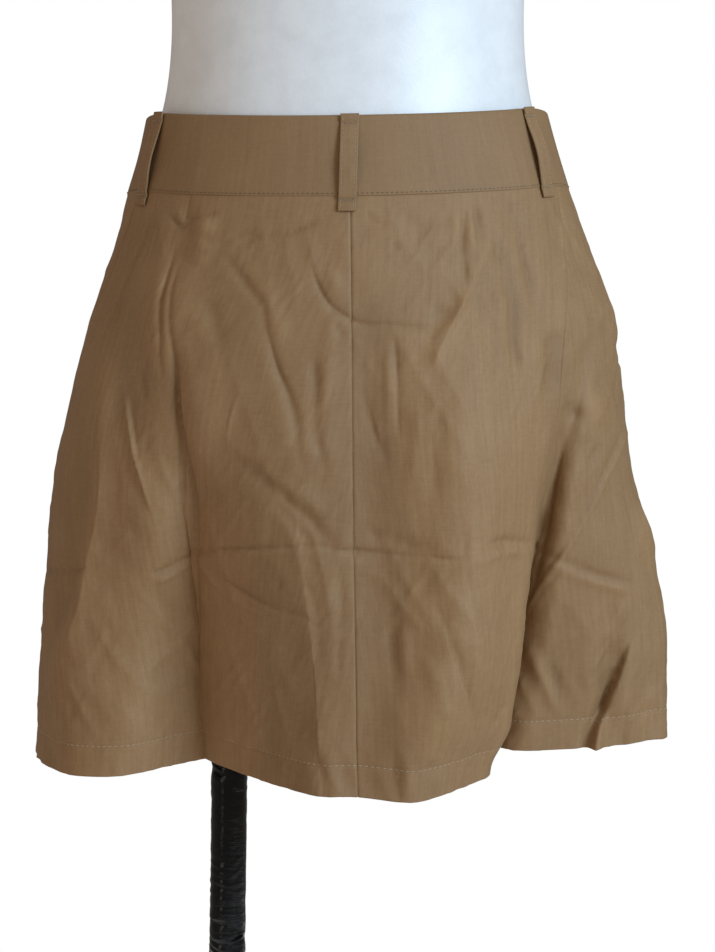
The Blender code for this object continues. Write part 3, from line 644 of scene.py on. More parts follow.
class Crumple:
    """Shallow unevenness from wear and packing, the same at each run."""

    def __init__(self, seed: int) -> None:
        """Draws the lattice of heights."""
        self.lattice = np.random.default_rng(seed).uniform(-1, 1, (128, 128))

    def layer(self, across: Array, down: Array, wide: float, tall: float) -> Array:
        """Smooth heights from -1 to 1.

        Args:
            across: Metres across the cloth.
            down: Metres down the cloth.
            wide: Size of one swell across, in metres.
            tall: Size of one swell down, in metres.

        Returns:
            One height for each place.
        """
        u, v = across / wide + 31.7, down / tall + 57.3
        i, j = np.floor(u).astype(int), np.floor(v).astype(int)
        a, b = smooth(u - i), smooth(v - j)
        n = len(self.lattice)
        at = lambda di, dj: self.lattice[(i + di) % n, (j + dj) % n]  # noqa: E731
        near, far = (at(0, d) * (1 - a) + at(1, d) * a for d in (0, 1))
        return near * (1 - b) + far * b

    def sharp(self, across: Array, down: Array, wide: float, tall: float) -> Array:
        """Heights from -1 to 1 that meet in keen lines, as in cloth that was crushed."""
        swell = self.layer(across + 1.7, down, wide * 2.3, tall * 2.3)
        bent = self.layer(across + 0.3 * wide * swell, down, wide, tall)
        return 1.0 - 2.6 * np.sqrt(bent * bent + 0.0012)


# ---- cloth as a grid of points ----
class ClothGrid:
    """A panel of cloth as rows of points, top row first and angles rising along a row."""

    def __init__(self, points: Array, across: Array, down: Array) -> None:
        """Keeps the points and their places in the flat cut.

        Args:
            points: Rows by columns by 3.
            across: Metres from the cut's upright thread line, rows by columns.
            down: Metres below the cut's top edge, rows by columns.
        """
        self.points, self.across, self.down = points, across, down
        # Heights kept for the colour: painted shade in hollows, painted highlight on ridges.
        self.relief = np.zeros(across.shape)

    def normals(self) -> Array:
        """Directions out of the cloth."""
        along = np.gradient(self.points, axis=1)
        falling = np.gradient(self.points, axis=0)
        return unit(np.cross(along, falling))

    def rise(self, height: Array, marks: float = 0.0) -> None:
        """Moves the cloth out by a height, and paints it into the colour as painted shade where the
        cloth sinks and painted highlight where it rises.

        Args:
            height: Metres, rows by columns.
            marks: How strongly the height shows in the colour as painted shade and highlight, per
                metre.
        """
        self.points = self.points + self.normals() * height[..., None]
        # painted shade and highlight: the height is kept for darkening and lightening the colour
        self.relief = self.relief + height * marks

    def at(self, row: Array, column: Array, field: Optional[Array] = None) -> Array:
        """Values between the grid's points, by default the points themselves."""
        field = self.points if field is None else field
        rows, columns = field.shape[:2]
        row = np.clip(row, 0, rows - 1.001)
        column = np.clip(column, 0, columns - 1.001)
        i, j = row.astype(int), column.astype(int)
        a, b = row - i, column - j
        if field.ndim == 3:
            a, b = a[:, None], b[:, None]
        top = field[i, j] * (1 - b) + field[i, j + 1] * b
        bottom = field[i + 1, j] * (1 - b) + field[i + 1, j + 1] * b
        return top * (1 - a) + bottom * a

    def edge_distance(self, first: bool) -> Array:
        """Metres across the cloth from its first or last upright edge."""
        run = run_along(self.points, axis=1)
        return run if first else run[:, -1:] - run

    def row_above_hem(self, height: float) -> Array:
        """How many rows down the line at a height above the hem lies, in each column."""
        rows = np.arange(len(self.points), dtype=float)
        return np.array([np.interp(-height, -column, rows) for column in self.hem_distance().T])

    def hem_distance(self) -> Array:
        """Metres up the cloth from its bottom edge."""
        run = run_along(self.points)
        return run[-1:] - run


def marks(length: float, step: float, edge: float) -> Array:
    """Shares of a length for the lines of a grid, closer together near both ends.

    Args:
        length: Metres from end to end.
        step: Metres between lines.
        edge: Metres from an end to its first line.

    Returns:
        Rising shares, an odd number of them.
    """
    near = edge * np.array([0.0, 1.0, 2.2, 3.8]) / length
    count = max(2 * round(length / step / 2), 4)
    middle = np.linspace(near[-1], 1 - near[-1], count + 1)[1:-1]
    return np.concatenate((near, middle, 1 - near[::-1]))


def quads(index: Array, turned: bool = False) -> list[list[int]]:
    """Faces between a grid's points, from the points' numbers."""
    corners = [index[:-1, :-1], index[1:, :-1], index[1:, 1:], index[:-1, 1:]]
    if turned:
        corners[1], corners[3] = corners[3], corners[1]
    return np.stack(corners, axis=-1).reshape(-1, 4).tolist()


def new_object(name: str, mesh: bpy.types.Mesh, finish: Finish) -> Piece:
    """Links a finished mesh to the scene as a piece with one material."""
    mesh.materials.clear()
    mesh.materials.append(finish)
    piece = bpy.data.objects.new(name, mesh)
    bpy.context.scene.collection.objects.link(piece)
    return piece


def shell(name: str, grid: ClothGrid, wall: Array, finish: Finish, round_hem: float) -> Piece:
    """A closed thin shell with a fine outer face and an inner face of half its lines.

    Args:
        name: The piece's name.
        grid: The outer face. It has an odd number of rows and of columns.
        wall: The cloth's thickness, rows by columns.
        finish: Its material.
        round_hem: How far the bottom edge bulges down between its two faces.

    Returns:
        The new piece.
    """
    outer = grid.points
    rows, columns = outer.shape[:2]
    back = outer - grid.normals() * wall[..., None]
    inner = back[::2, ::2]
    ring = (
        [(0, k) for k in range(columns - 1)]
        + [(r, columns - 1) for r in range(rows - 1)]
        + [(rows - 1, k) for k in range(columns - 1, 0, -1)]
        + [(r, 0) for r in range(rows - 1, 0, -1)]
    )
    r, k = (np.array(axis) for axis in zip(*ring))
    middle = (outer[r, k] + back[r, k]) / 2
    fall = unit(outer[-1] - outer[-2])
    at_hem = r == rows - 1
    middle[at_hem] += fall[k[at_hem]] * round_hem
    uv = np.stack((grid.across, -grid.down), axis=-1)
    points = np.vstack((outer.reshape(-1, 3), inner.reshape(-1, 3), middle))
    flat = np.vstack((uv.reshape(-1, 2), uv[::2, ::2].reshape(-1, 2), uv[r, k]))
    # the heights that paint shade and highlight into the colour, for every point
    relief = np.concatenate((grid.relief.ravel(), grid.relief[::2, ::2].ravel(), grid.relief[r, k]))

    front = np.arange(rows * columns).reshape(rows, columns)
    behind = rows * columns + np.arange(inner.shape[0] * inner.shape[1]).reshape(inner.shape[:2])
    between = behind.max() + 1 + np.arange(len(ring))
    faces = quads(front) + quads(behind, turned=True)
    edge = front[r, k]
    after = np.roll(np.arange(len(ring)), -1)
    faces += np.stack((edge, edge[after], between[after], between), axis=-1).tolist()
    for m in range(0, len(ring), 2):
        n, o = (m + 1) % len(ring), (m + 2) % len(ring)
        ends = [behind[r[q] // 2, k[q] // 2] for q in (o, m)]
        faces.append([between[m], between[n], between[o], *ends])
    mesh = cloth_mesh(name, points, faces, flat, relief)
    mesh.shade_smooth()
    return new_object(name, mesh, finish)


def cloth_mesh(name: str, points: Array, faces: list, flat: Array, relief: Array) -> bpy.types.Mesh:
    """A mesh with the cut's UV map and the heights that paint shade and highlight into the colour.

    Args:
        name: Its name.
        points: Its points.
        faces: Its faces, as lists of the points' numbers.
        flat: Each point's place in the flat cut, in metres.
        relief: Each point's height for the painted shade and highlight in the colour.

    Returns:
        The mesh.
    """
    mesh = bpy.data.meshes.new(name)
    mesh.from_pydata(points.tolist(), [], faces)
    layer = mesh.uv_layers.new(name="cloth")
    corners = np.zeros(len(mesh.loops), np.int32)
    mesh.loops.foreach_get("vertex_index", corners)
    layer.data.foreach_set("uv", flat[corners].astype(np.float32).ravel())
    # the heights kept here darken hollows and lighten ridges in the colour: painted shade and
    # highlight
    shade = mesh.attributes.new("relief", "FLOAT", "POINT")
    shade.data.foreach_set("value", relief.astype(np.float32))
    return mesh


# ---- finishes ----
class Graph:
    """Adds and links the nodes of one material."""

    def __init__(self, name: str) -> None:
        """Starts a material with its shader."""
        self.material = bpy.data.materials.new(name)
        self.material.use_nodes = True
        self.tree = self.material.node_tree
        self.shader = self.tree.nodes["Principled BSDF"]

    def add(self, kind: str, inputs: Optional[dict] = None, **settings: object) -> bpy.types.Node:
        """Adds a node.

        Args:
            kind: The node's type, without its "ShaderNode".
            inputs: Values or other nodes' outputs for its sockets, by name or number.
            settings: Values for its own properties.

        Returns:
            The node.
        """
        node = self.tree.nodes.new("ShaderNode" + kind)
        for name, value in settings.items():
            setattr(node, name, value)
        self.feed(node, inputs or {})
        return node

    def feed(self, node: bpy.types.Node, inputs: dict) -> None:
        """Sets or links a node's sockets."""
        for name, value in inputs.items():
            if isinstance(value, Socket):
                self.tree.links.new(value, node.inputs[name])
            else:
                node.inputs[name].default_value = value

    def place(self) -> Socket:
        """Where a point lies on the piece."""
        return self.add("TexCoord").outputs["Object"]

    def stretched(self, where: Socket, scale: tuple[float, float, float]) -> Socket:
        """Places on a pattern that is scaled apart along each axis."""
        return self.add("Mapping", {"Vector": where, "Scale": scale}).outputs[0]

    def noise(self, where: Socket, scale: float = 1.0, detail: float = 2.0,
              rough: float = 0.5, distortion: float = 0.0) -> Socket:
        """Cloudy values round a half."""
        return self.add("TexNoise", {"Vector": where, "Scale": scale, "Detail": detail,
                                     "Roughness": rough, "Distortion": distortion}).outputs["Fac"]

    def spread(self, value: Socket, low: float, high: float,
               to_low: float = 0.0, to_high: float = 1.0) -> Socket:
        """A value carried from one range to another, and held at its ends."""
        return self.add("MapRange", {"Value": value, "From Min": low, "From Max": high,
                                     "To Min": to_low, "To Max": to_high}).outputs[0]

    def blend(self, first: Socket, second: Socket, shares: tuple[float, float]) -> Socket:
        """The sum of shares of two values."""
        parts = (self.math("MULTIPLY", v, share) for v, share in zip((first, second), shares))
        return self.math("ADD", *parts)

    def mix(self, factor: object, first: object, second: object, way: str = "MIX") -> Socket:
        """A mix of two colours."""
        node = self.add("Mix", data_type="RGBA", blend_type=way)
        self.feed(node, {0: factor, 6: first, 7: second})
        return node.outputs[2]

    def math(self, operation: str, *values: object) -> Socket:
        """The result of a sum on numbers."""
        node = self.add("Math", dict(enumerate(values)), operation=operation)
        return node.outputs[0]

    def bump(self, height: Socket, strength: float, distance: float,
             under: Optional[Socket] = None) -> Socket:
        """A normal bent by heights, on top of another where one is given."""
        inputs = {"Height": height, "Strength": strength, "Distance": distance}
        if under is not None:
            inputs["Normal"] = under
        return self.add("Bump", inputs).outputs["Normal"]


@dataclass(frozen=True)
class TwillFinish:
    """Cotton twill with a slight sheen. Sizes are in metres."""

    name: str
    light: tuple[float, float, float]
    dark: tuple[float, float, float]
    rib: float = 0.00055
    roughness: float = 0.70
    sheen: float = 0.01

    def build(self) -> Finish:
        """The material, whose weave follows the cut's UV map."""
        g = Graph(self.name)
        cut = g.add("UVMap", uv_map="cloth").outputs[0]
        ribs = g.add("TexWave", {"Vector": cut, "Scale": 0.444 / self.rib, "Distortion": 0.4,
                                 "Detail": 1.0, "Detail Scale": 0.2},
                     wave_type="BANDS", bands_direction="DIAGONAL").outputs["Fac"]
        yarns = g.noise(g.stretched(cut, (1400.0, 90.0, 1.0)))
        picks = g.noise(g.stretched(cut, (70.0, 900.0, 1.0)))
        clouds = g.noise(cut, 22.0, 3.0)
        grains = g.blend(yarns, picks, (0.5, 0.5))
        flecks = g.noise(g.stretched(cut, (620.0, 260.0, 1.0)), 1.0, 3.0, 0.7)
        slubs = g.noise(g.stretched(cut, (330.0, 16.0, 1.0)))
        fibres = g.blend(flecks, slubs, (0.5, 0.5))
        tone = g.blend(grains, fibres, (0.3, 0.5))
        tone = g.math("ADD", tone, g.math("MULTIPLY", clouds, 0.2))
        colour = g.mix(g.spread(tone, 0.39, 0.61), (*self.dark, 1.0), (*self.light, 1.0))
        # Painted shade and highlight: the stored heights darken the colour where the cloth was
        # pressed in and lighten it where it stands up, by up to 7 percent.
        relief = g.add("Attribute", attribute_name="relief", attribute_type="GEOMETRY")
        wear_and_painted_shade = g.spread(relief.outputs["Fac"], -1.0, 1.0, 0.93, 1.07)
        shade = g.add("CombineXYZ", {0: wear_and_painted_shade, 1: wear_and_painted_shade, 2: wear_and_painted_shade}).outputs[0]
        colour = g.mix(1.0, colour, shade, "MULTIPLY")
        normal = g.bump(ribs, 0.35, 0.00012)
        normal = g.bump(grains, 0.5, 0.00018, normal)
        g.feed(g.shader, {
            "Base Color": colour, "Roughness": self.roughness, "Sheen Weight": self.sheen,
            "Sheen Roughness": 0.45, "Sheen Tint": (1.0, 0.93, 0.84, 1.0),
            "Specular IOR Level": 0.55, "Normal": normal,
        })
        return g.material


@dataclass(frozen=True)
class ThreadFinish:
    """Twisted sewing thread."""

    name: str
    colour: tuple[float, float, float]

    def build(self) -> Finish:
        """The material, with a fine twist in its colour and height."""
        g = Graph(self.name)
        twist = g.add("TexWave", {"Vector": g.place(), "Scale": 420.0, "Distortion": 1.0},
                      bands_direction="DIAGONAL").outputs["Fac"]
        dark = tuple(0.7 * c for c in self.colour)
        colour = g.mix(twist, (*dark, 1.0), (*self.colour, 1.0))
        g.feed(g.shader, {"Base Color": colour, "Roughness": 0.45, "Sheen Weight": 0.2,
                          "Normal": g.bump(twist, 0.4, 0.0001)})
        return g.material


@dataclass(frozen=True)
class ShellFinish:
    """The hip form's white shell, with a fine moulded grain."""

    name: str
    colour: tuple[float, float, float]

    def build(self) -> Finish:
        """The material."""
        g = Graph(self.name)
        place = g.place()
        grain, swells = g.noise(place, 620.0, 3.0), g.noise(place, 14.0)
        dirt = g.noise(place, 55.0, 5.0, 0.7)
        grey = tuple(0.93 * c for c in self.colour)
        colour = g.mix(g.spread(dirt, 0.35, 0.6), (*grey, 1.0), (*self.colour, 1.0))
        normal = g.bump(swells, 0.15, 0.002)
        normal = g.bump(grain, 0.25, 0.0003, normal)
        g.feed(g.shader, {"Base Color": colour, "Roughness": 0.40, "Specular IOR Level": 0.6,
                          "Normal": normal})
        return g.material


@dataclass(frozen=True)
class FilmFinish:
    """Black film stretched round the pole."""

    name: str

    def build(self) -> Finish:
        """The material, glossy with fine wrinkles and dust."""
        g = Graph(self.name)
        place = g.place()
        wrinkles = g.noise(g.stretched(place, (60.0, 60.0, 420.0)), 1.0, 6.0, 0.65, 0.8)
        dust = g.noise(place, 180.0, 5.0)
        clean, dusty = (0.002, 0.002, 0.0022, 1.0), (0.009, 0.009, 0.0095, 1.0)
        colour = g.mix(g.spread(dust, 0.55, 0.8), clean, dusty)
        g.feed(g.shader, {"Base Color": colour, "Roughness": g.spread(dust, 0.3, 0.7, 0.09, 0.20),
                          "Specular IOR Level": 0.40,
                          "Normal": g.bump(wrinkles, 0.30, 0.0008)})
        return g.material


@dataclass(frozen=True)
class CoatFinish:
    """Powder coat on steel."""

    name: str
    colour: tuple[float, float, float]

    def build(self) -> Finish:
        """The material, with a fine orange-peel surface."""
        g = Graph(self.name)
        place = g.place()
        peel, scuffs = g.noise(place, 900.0), g.noise(place, 35.0, 6.0, 0.75)
        light = tuple(2.2 * c for c in self.colour)
        colour = g.mix(g.spread(scuffs, 0.5, 0.75), (*self.colour, 1.0), (*light, 1.0))
        g.feed(g.shader, {"Base Color": colour, "Roughness": g.spread(scuffs, 0.0, 1.0, 0.38, 0.6),
                          "Normal": g.bump(peel, 0.35, 0.0003)})
        return g.material


@dataclass(frozen=True)
class ResinFinish:
    """Brown resin with darker swirls, as buttons are cast from."""

    name: str

    def build(self) -> Finish:
        """The material."""
        g = Graph(self.name)
        place = g.place()
        band = g.spread(g.noise(place, 160.0, 4.0, 0.5, 2.5), 0.4, 0.6)
        colour = g.mix(band, (0.045, 0.022, 0.011, 1.0), (0.17, 0.095, 0.05, 1.0))
        g.feed(g.shader, {"Base Color": colour, "Roughness": 0.3, "Coat Weight": 0.2,
                          "Normal": g.bump(g.noise(place, 2600.0), 0.1, 0.0001)})
        return g.material


class Finishes:
    """Every material of the object, built once."""

    def __init__(self) -> None:
        """Builds them."""
        self.cloth, self.band, self.shorts = (
            TwillFinish(name, light, dark).build() for name, light, dark in (
                ("camel_twill", (0.303, 0.171, 0.072), (0.238, 0.127, 0.049)),
                # A darker copy of the skirt's twill for the band and its loops: painted shade for
                # their upright faces, which turn from the light.
                ("camel_band_twill", (0.276, 0.154, 0.065), (0.226, 0.121, 0.047)),
                ("camel_shorts_twill", (0.295, 0.170, 0.067), (0.240, 0.132, 0.047)),
            )
        )
        self.thread = ThreadFinish("camel_thread", (0.47, 0.33, 0.20)).build()
        self.deep_thread = ThreadFinish("deep_thread", (0.15, 0.082, 0.035)).build()
        self.form = ShellFinish("white_shell", (0.77, 0.76, 0.75)).build()
        self.film = FilmFinish("black_film").build()
        self.coat = CoatFinish("black_coat", (0.016, 0.016, 0.017)).build()
        self.button = ResinFinish("brown_resin").build()


# ---- stitches ----
@dataclass(frozen=True)
class StitchKind:
    """Size of one stitch that shows, in metres."""

    length: float = 0.0030
    gap: float = 0.0007
    thread: float = 0.00042


class Sewing:
    """Rows of stitches, modelled once and copied along lines on the cloth."""

    def __init__(self, finish: Finish) -> None:
        """Models the stitch that is copied."""
        self.finish = finish
        self.points, self.faces = self.model_stitch()
        self.rows: list[Array] = []

    def model_stitch(self) -> tuple[Array, Array]:
        """One stitch of length 1 and thickness 1, arched and with its ends drawn in.

        Returns:
            Its points as (along, across, out) and its triangles.
        """
        deselect()
        bpy.ops.mesh.primitive_uv_sphere_add(segments=5, ring_count=4, radius=0.5,
                                             rotation=(0, math.pi / 2, 0))
        ball = bpy.context.object
        bpy.ops.object.transform_apply(rotation=True)
        mesh = ball.data
        for vert in mesh.vertices:
            along = vert.co.x * 2
            vert.co.z = vert.co.z * 0.8 + 0.55 * (1 - along * along) - 0.25
        mesh.calc_loop_triangles()
        points = np.array([v.co for v in mesh.vertices], float)
        faces = np.array([t.vertices for t in mesh.loop_triangles], int)
        bpy.data.objects.remove(ball, do_unlink=True)
        return points, faces

    def sew(self, line: Array, out: Array, kind: StitchKind = StitchKind()) -> None:
        """Sews along a line.

        Args:
            line: Points on the cloth, in order.
            out: Directions out of the cloth at them.
            kind: The stitch's size.
        """
        run = run_along(line)
        pitch = kind.length + kind.gap
        count = int(run[-1] / pitch)
        if count < 1:
            return
        centre = (np.arange(count) + 0.5) * run[-1] / count
        start, middle, end = (
            np.stack([np.interp(centre + shift, run, row) for row in line.T], axis=-1)
            for shift in (-kind.length / 2, 0.0, kind.length / 2)
        )
        normal = unit(np.stack([np.interp(centre, run, row) for row in out.T], axis=-1))
        forward = unit(end - start)
        side = unit(np.cross(normal, forward))
        normal = np.cross(forward, side)
        length = np.linalg.norm(end - start, axis=1)
        p = self.points
        placed = (
            middle[:, None]
            + forward[:, None] * (p[:, 0] * length[:, None])[..., None]
            + side[:, None] * (p[:, 1] * kind.thread)[None, :, None]
            + normal[:, None] * (p[:, 2] * kind.thread)[None, :, None]
        )
        self.rows.append(placed.reshape(-1, 3))

    def finish_piece(self, name: str, slot: str, finish: Optional[Finish] = None) -> None:
        """Joins all the stitches sewn so far into one piece."""
        points = np.vstack(self.rows)
        copies = len(points) // len(self.points)
        starts = np.arange(copies) * len(self.points)
        faces = (self.faces[None] + starts[:, None, None]).reshape(-1, 3)
        mesh = bpy.data.meshes.new(name)
        mesh.from_pydata(points.tolist(), [], faces.tolist())
        mesh.shade_smooth()
        self.rows = []
        enter(new_object(name, mesh, finish or self.finish))


def enter(piece: Piece, node: str = "", finish: Optional[Finish] = None) -> None:
    """Hangs a piece on the body's empty, hides the node that it replaces and reports it.

    Args:
        piece: The piece.
        node: The node that it replaces, if it does.
        finish: Its one material, if it has none yet.
    """
    if finish:
        new_finish(piece, finish)
    if node:
        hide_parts(node)
    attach(piece, BODY)
    LOG.info("%s: %d faces", piece.name, len(piece.data.polygons))


def apply_modifier(piece: Piece, kind: str, **settings: object) -> None:
    """Adds a modifier to the active piece and applies it."""
    modifier = piece.modifiers.new(kind.lower(), kind)
    for name, value in settings.items():
        setattr(modifier, name, value)
    bpy.ops.object.modifier_apply(modifier=modifier.name)


def round_edges(piece: Piece, width: float, angle: float) -> None:
    """Bevels the edges that turn more than an angle in degrees, and smooths the rest."""
    apply_modifier(piece, "BEVEL", width=width, segments=3, limit_method="ANGLE",
                   angle_limit=math.radians(angle))
    bpy.ops.object.shade_smooth_by_angle(angle=math.radians(35))


def deselect() -> None:
    """Leaves object mode ready for a new primitive."""
    if bpy.context.object and bpy.context.object.mode != "OBJECT":
        bpy.ops.object.mode_set(mode="OBJECT")
    bpy.ops.object.select_all(action="DESELECT")


# ---- the skirt ----
@dataclass(frozen=True)
class PanelCut:
    """One panel of the skirt: its node, its edges, its mesh's step and its flat cut."""

    node: str
    first: Curve
    last: Curve
    step: float
    seed: int
    width: float  # of what shows, laid flat
    area: float
    length: float = 0.44


CENTRE_BACK = Curve((0.0, 1.0), (-0.7, -1.6))
CENTRE_FRONT, FRONT_AGAIN = (Curve((0.0, 1.0), (angle, angle)) for angle in (180.0, -180.0))
SIDE_LEFT = Curve((0.0, 0.12, 0.25, 0.5, 1.0), (69.0, 73.0, 84.0, 91.0, 94.0))
SIDE_RIGHT = Curve((0.0, 0.12, 0.25, 0.5, 0.7, 1.0), (-69.0, -60.5, -51.5, -45.7, -38.0, -32.0))


@dataclass
class Skirt:
    """Four flared panels with a deep hem."""

    drape: Drape
    finishes: Finishes
    sewing: Sewing
    wall: float = 0.0012
    hem_depth: float = 0.021  # height of the hem's stitches above the edge
    allowance: float = 0.010  # width of each seam allowance inside
    top_share: float = -0.004  # the cloth runs this far up behind the band
    grids: dict[str, ClothGrid] = field(default_factory=dict)
    rows: dict[str, Array] = field(default_factory=dict)
    cuts: tuple[PanelCut, ...] = (
        PanelCut("skirt_back_left", CENTRE_BACK, SIDE_LEFT, 0.0015, 3, 0.36, 0.124),
        PanelCut("skirt_back_right", SIDE_RIGHT, CENTRE_BACK, 0.0015, 5, 0.20, 0.066),
        PanelCut("skirt_front_left", SIDE_LEFT, CENTRE_FRONT, 0.0019, 7, 0.32, 0.119),
        PanelCut("skirt_front_right", FRONT_AGAIN, SIDE_RIGHT, 0.0018, 11, 0.57, 0.178),
    )

    def grid(self, cut: PanelCut) -> tuple[ClothGrid, Array, Array]:
        """A panel's outer face with points evenly spread over the cloth.

        Args:
            cut: The panel.

        Returns:
            The grid, its rows' shares of the drop and its points' angles.
        """
        shares = self.top_share + (1 - self.top_share) * marks(DROP, cut.step, 0.0004)
        fine = np.linspace(0, 1, 500)
        first, last = cut.first(np.clip(shares, 0, 1)), cut.last(np.clip(shares, 0, 1))
        angles = first[:, None] + (last - first)[:, None] * fine
        points = self.drape.skirt(angles, shares[:, None])
        run = run_along(points, axis=1)
        columns = marks(run[-1, -1], cut.step, 0.0004)
        placed = np.stack([
            np.interp(columns * row_run[-1], row_run, row_angles)
            for row_run, row_angles in zip(run, angles)
        ])
        points = self.drape.skirt(placed, shares[:, None])
        across = (columns[None] - 0.5) * run[:, -1:]
        down = np.broadcast_to((shares * DROP)[:, None], across.shape)
        return ClothGrid(points, across, down), shares[:, None], placed

    def uneven(self, grid: ClothGrid, seed: int) -> Array:
        """Heights of the wear and packing marks all over a panel."""
        crumple = Crumple(seed)
        across, down = grid.across, grid.down
        broad = crumple.layer(across, down, 0.034, 0.10)
        wear_and_painted_shade = 0.35 + 0.65 * smooth(0.5 + 0.9 * crumple.layer(across + 3.0, down, 0.05, 0.07))
        small = crumple.sharp(across + 0.5 * down, down, 0.016, 0.040)
        other = crumple.sharp(across - 0.7 * down + 5.0, down, 0.012, 0.024)
        fine = crumple.sharp(across - 0.3 * down, down, 0.0055, 0.012)
        return 0.00060 * broad + wear_and_painted_shade * (0.00055 * small + 0.00036 * other + 0.00013 * fine)

    def room(self, angle: Array, share: Array) -> Array:
        """How far the cloth may be pressed in before it meets the shorts."""
        valley = FOLDS[1].line(share)
        near = 1 - smooth((np.abs(angle - valley) - 8.0) / 12.0)
        near = near * smooth((share - 0.30) / 0.15) * smooth((0.92 - share) / 0.12)
        return 0.0004 * near + 0.012 * (1 - near)

    def drape_panel(self, cut: PanelCut) -> None:
        """Drapes and creases one panel."""
        grid, share, angle = self.grid(cut)
        held = smooth(share / 0.05)
        back = smooth((grid.points[..., 1] + 0.02) / 0.03)
        table = BACK_CREASES if "back" in cut.node else FLANK_CREASES
        seen = Chart(from_behind).heights(table, grid.points, back)
        front = Chart(from_front).heights(FRONT_CREASES, grid.points, 1 - back)
        creases = (seen + front) * np.clip(held + 0.3, 0, 1)
        # The last number of each rise below paints its heights into the colour: painted shade in
        # the hollows of creases, seams and the hem, painted highlight on their ridges.
        grid.rise(np.maximum(creases, -self.room(angle, share)), 700.0)
        if cut.node == "skirt_front_right":
            grid.points[..., 1] += Chart(from_behind).heights(WEDGE, grid.points, back)
        grid.rise(self.uneven(grid, cut.seed) * held, 150.0)
        pucker = Crumple(cut.seed + 40)
        for run in [grid.edge_distance(True), grid.edge_distance(False)]:
            wave = pucker.layer(0 * run, grid.down, 1.0, 0.009)
            grid.rise(-0.0007 * bump(run, 0.0008) + 0.00016 * wave * np.exp(-run / 0.007), 60.0)
        hem = grid.hem_distance()
        wave = pucker.layer(grid.across, 0 * hem, 0.008, 1.0)
        grid.rise(
            -0.00034 * bump(hem - self.hem_depth, 0.0013)
            + 0.00022 * wave * bump(hem - self.hem_depth, 0.006)
            + 0.00022 * smooth((self.hem_depth - hem) / 0.0015),
            300.0,
        )
        self.grids[cut.node] = grid
        self.rows[cut.node] = share[:, 0]

    def join(self, node: str, first: bool, other: str, other_first: bool) -> None:
        """Brings the edges of two neighbouring panels together along their seam.

        Args:
            node: One panel's node.
            first: Whether its first edge is in the seam, and not its last.
            other: The other panel's node.
            other_first: The same for its edge.
        """
        grids, rows = (self.grids[node], self.grids[other]), (self.rows[node], self.rows[other])
        sides = (first, other_first)
        edges = [grid.points[:, 0 if side else -1].copy() for grid, side in zip(grids, sides)]
        for k, (grid, at_first) in enumerate(zip(grids, sides)):
            met = [np.interp(rows[k], rows[1 - k], line) for line in edges[1 - k].T]
            half_way = (np.stack(met, axis=-1) - edges[k]) / 2
            fade = np.exp(-grid.edge_distance(at_first) / 0.0025)
            grid.points = grid.points + half_way[:, None] * fade[..., None]

    def finish_panel(self, cut: PanelCut) -> None:
        """Gives one panel its wall and its stitches."""
        grid = self.grids[cut.node]
        hem = grid.hem_distance()
        inside = np.minimum(grid.edge_distance(True), grid.edge_distance(False))
        wall = self.wall + 0.0006 * (1 - smooth((inside - self.allowance) / 0.0015))
        wall = wall + 0.0007 * (1 - smooth((hem - self.hem_depth - 0.0015) / 0.001))
        piece = shell(cut.node + "_cloth", grid, wall, self.finishes.cloth, 0.0005)
        self.sew_hem(grid)
        enter(piece, cut.node)

    def sew_hem(self, grid: ClothGrid) -> None:
        """One row of stitches along the top of the hem's allowance."""
        rows = grid.row_above_hem(self.hem_depth)
        columns = np.arange(len(rows), dtype=float)
        line, out = grid.at(rows, columns), grid.at(rows, columns, grid.normals())
        self.sewing.sew(line, out, StitchKind(0.0031, 0.0010, 0.00062))

    def build(self) -> None:
        """Builds the four panels and their hem's stitches."""
        for cut in self.cuts:
            self.drape_panel(cut)
        self.join("skirt_back_left", True, "skirt_back_right", False)
        self.join("skirt_back_left", False, "skirt_front_left", True)
        self.join("skirt_front_right", False, "skirt_back_right", True)
        self.join("skirt_front_left", False, "skirt_front_right", True)
        for cut in self.cuts:
            self.finish_panel(cut)
        self.sewing.finish_piece("hem_stitches", "cloth")


# ---- the waistband and its loops ----
def rounded(share: Array, length: float, radius: float) -> Array:
    """How full a flat strip is at shares of its length, with round ends."""
    from_end = np.minimum(share, 1 - share) * length
    inset = 1 - np.clip(from_end / radius, 0, 1)
    return np.sqrt(np.maximum(1 - inset * inset, 0.0))


def folded_strip(name: str, outer: Array, out: Array, full: Array, wall: float,
                 flat: Array, relief: Array, finish: Finish) -> Piece:
    """A closed strip whose two faces meet where it has no fullness.

    Args:
        name: The piece's name.
        outer: The outer face's points where the strip is full, rows by columns by 3.
        out: Directions out of it.
        full: Its fullness, 0 along its edges.
        wall: Its thickness where it is full.
        flat: Places in the flat cut, rows by columns by 2.
        relief: Heights that paint shade and highlight into the colour.
        finish: Its material.

    Returns:
        The new piece.
    """
    rows, columns = full.shape
    middle = outer - out * wall / 2
    half = out * (full * wall / 2)[..., None]
    points = np.vstack(((middle + half).reshape(-1, 3), (middle - half).reshape(-1, 3)))
    front = np.arange(rows * columns).reshape(rows, columns)
    behind = front + rows * columns
    border = np.zeros((rows, columns), bool)
    border[[0, -1]] = border[:, [0, -1]] = True
    behind[border] = front[border]
    faces = quads(front) + quads(behind, turned=True)
    both = (np.concatenate((field, field)) for field in (flat.reshape(-1, 2), relief.ravel()))
    mesh = cloth_mesh(name, points, faces, *both)
    loose = bmesh.new()
    loose.from_mesh(mesh)
    bmesh.ops.delete(loose, geom=[v for v in loose.verts if not v.link_faces], context="VERTS")
    loose.to_mesh(mesh)
    loose.free()
    mesh.shade_smooth()
    return new_object(name, mesh, finish)


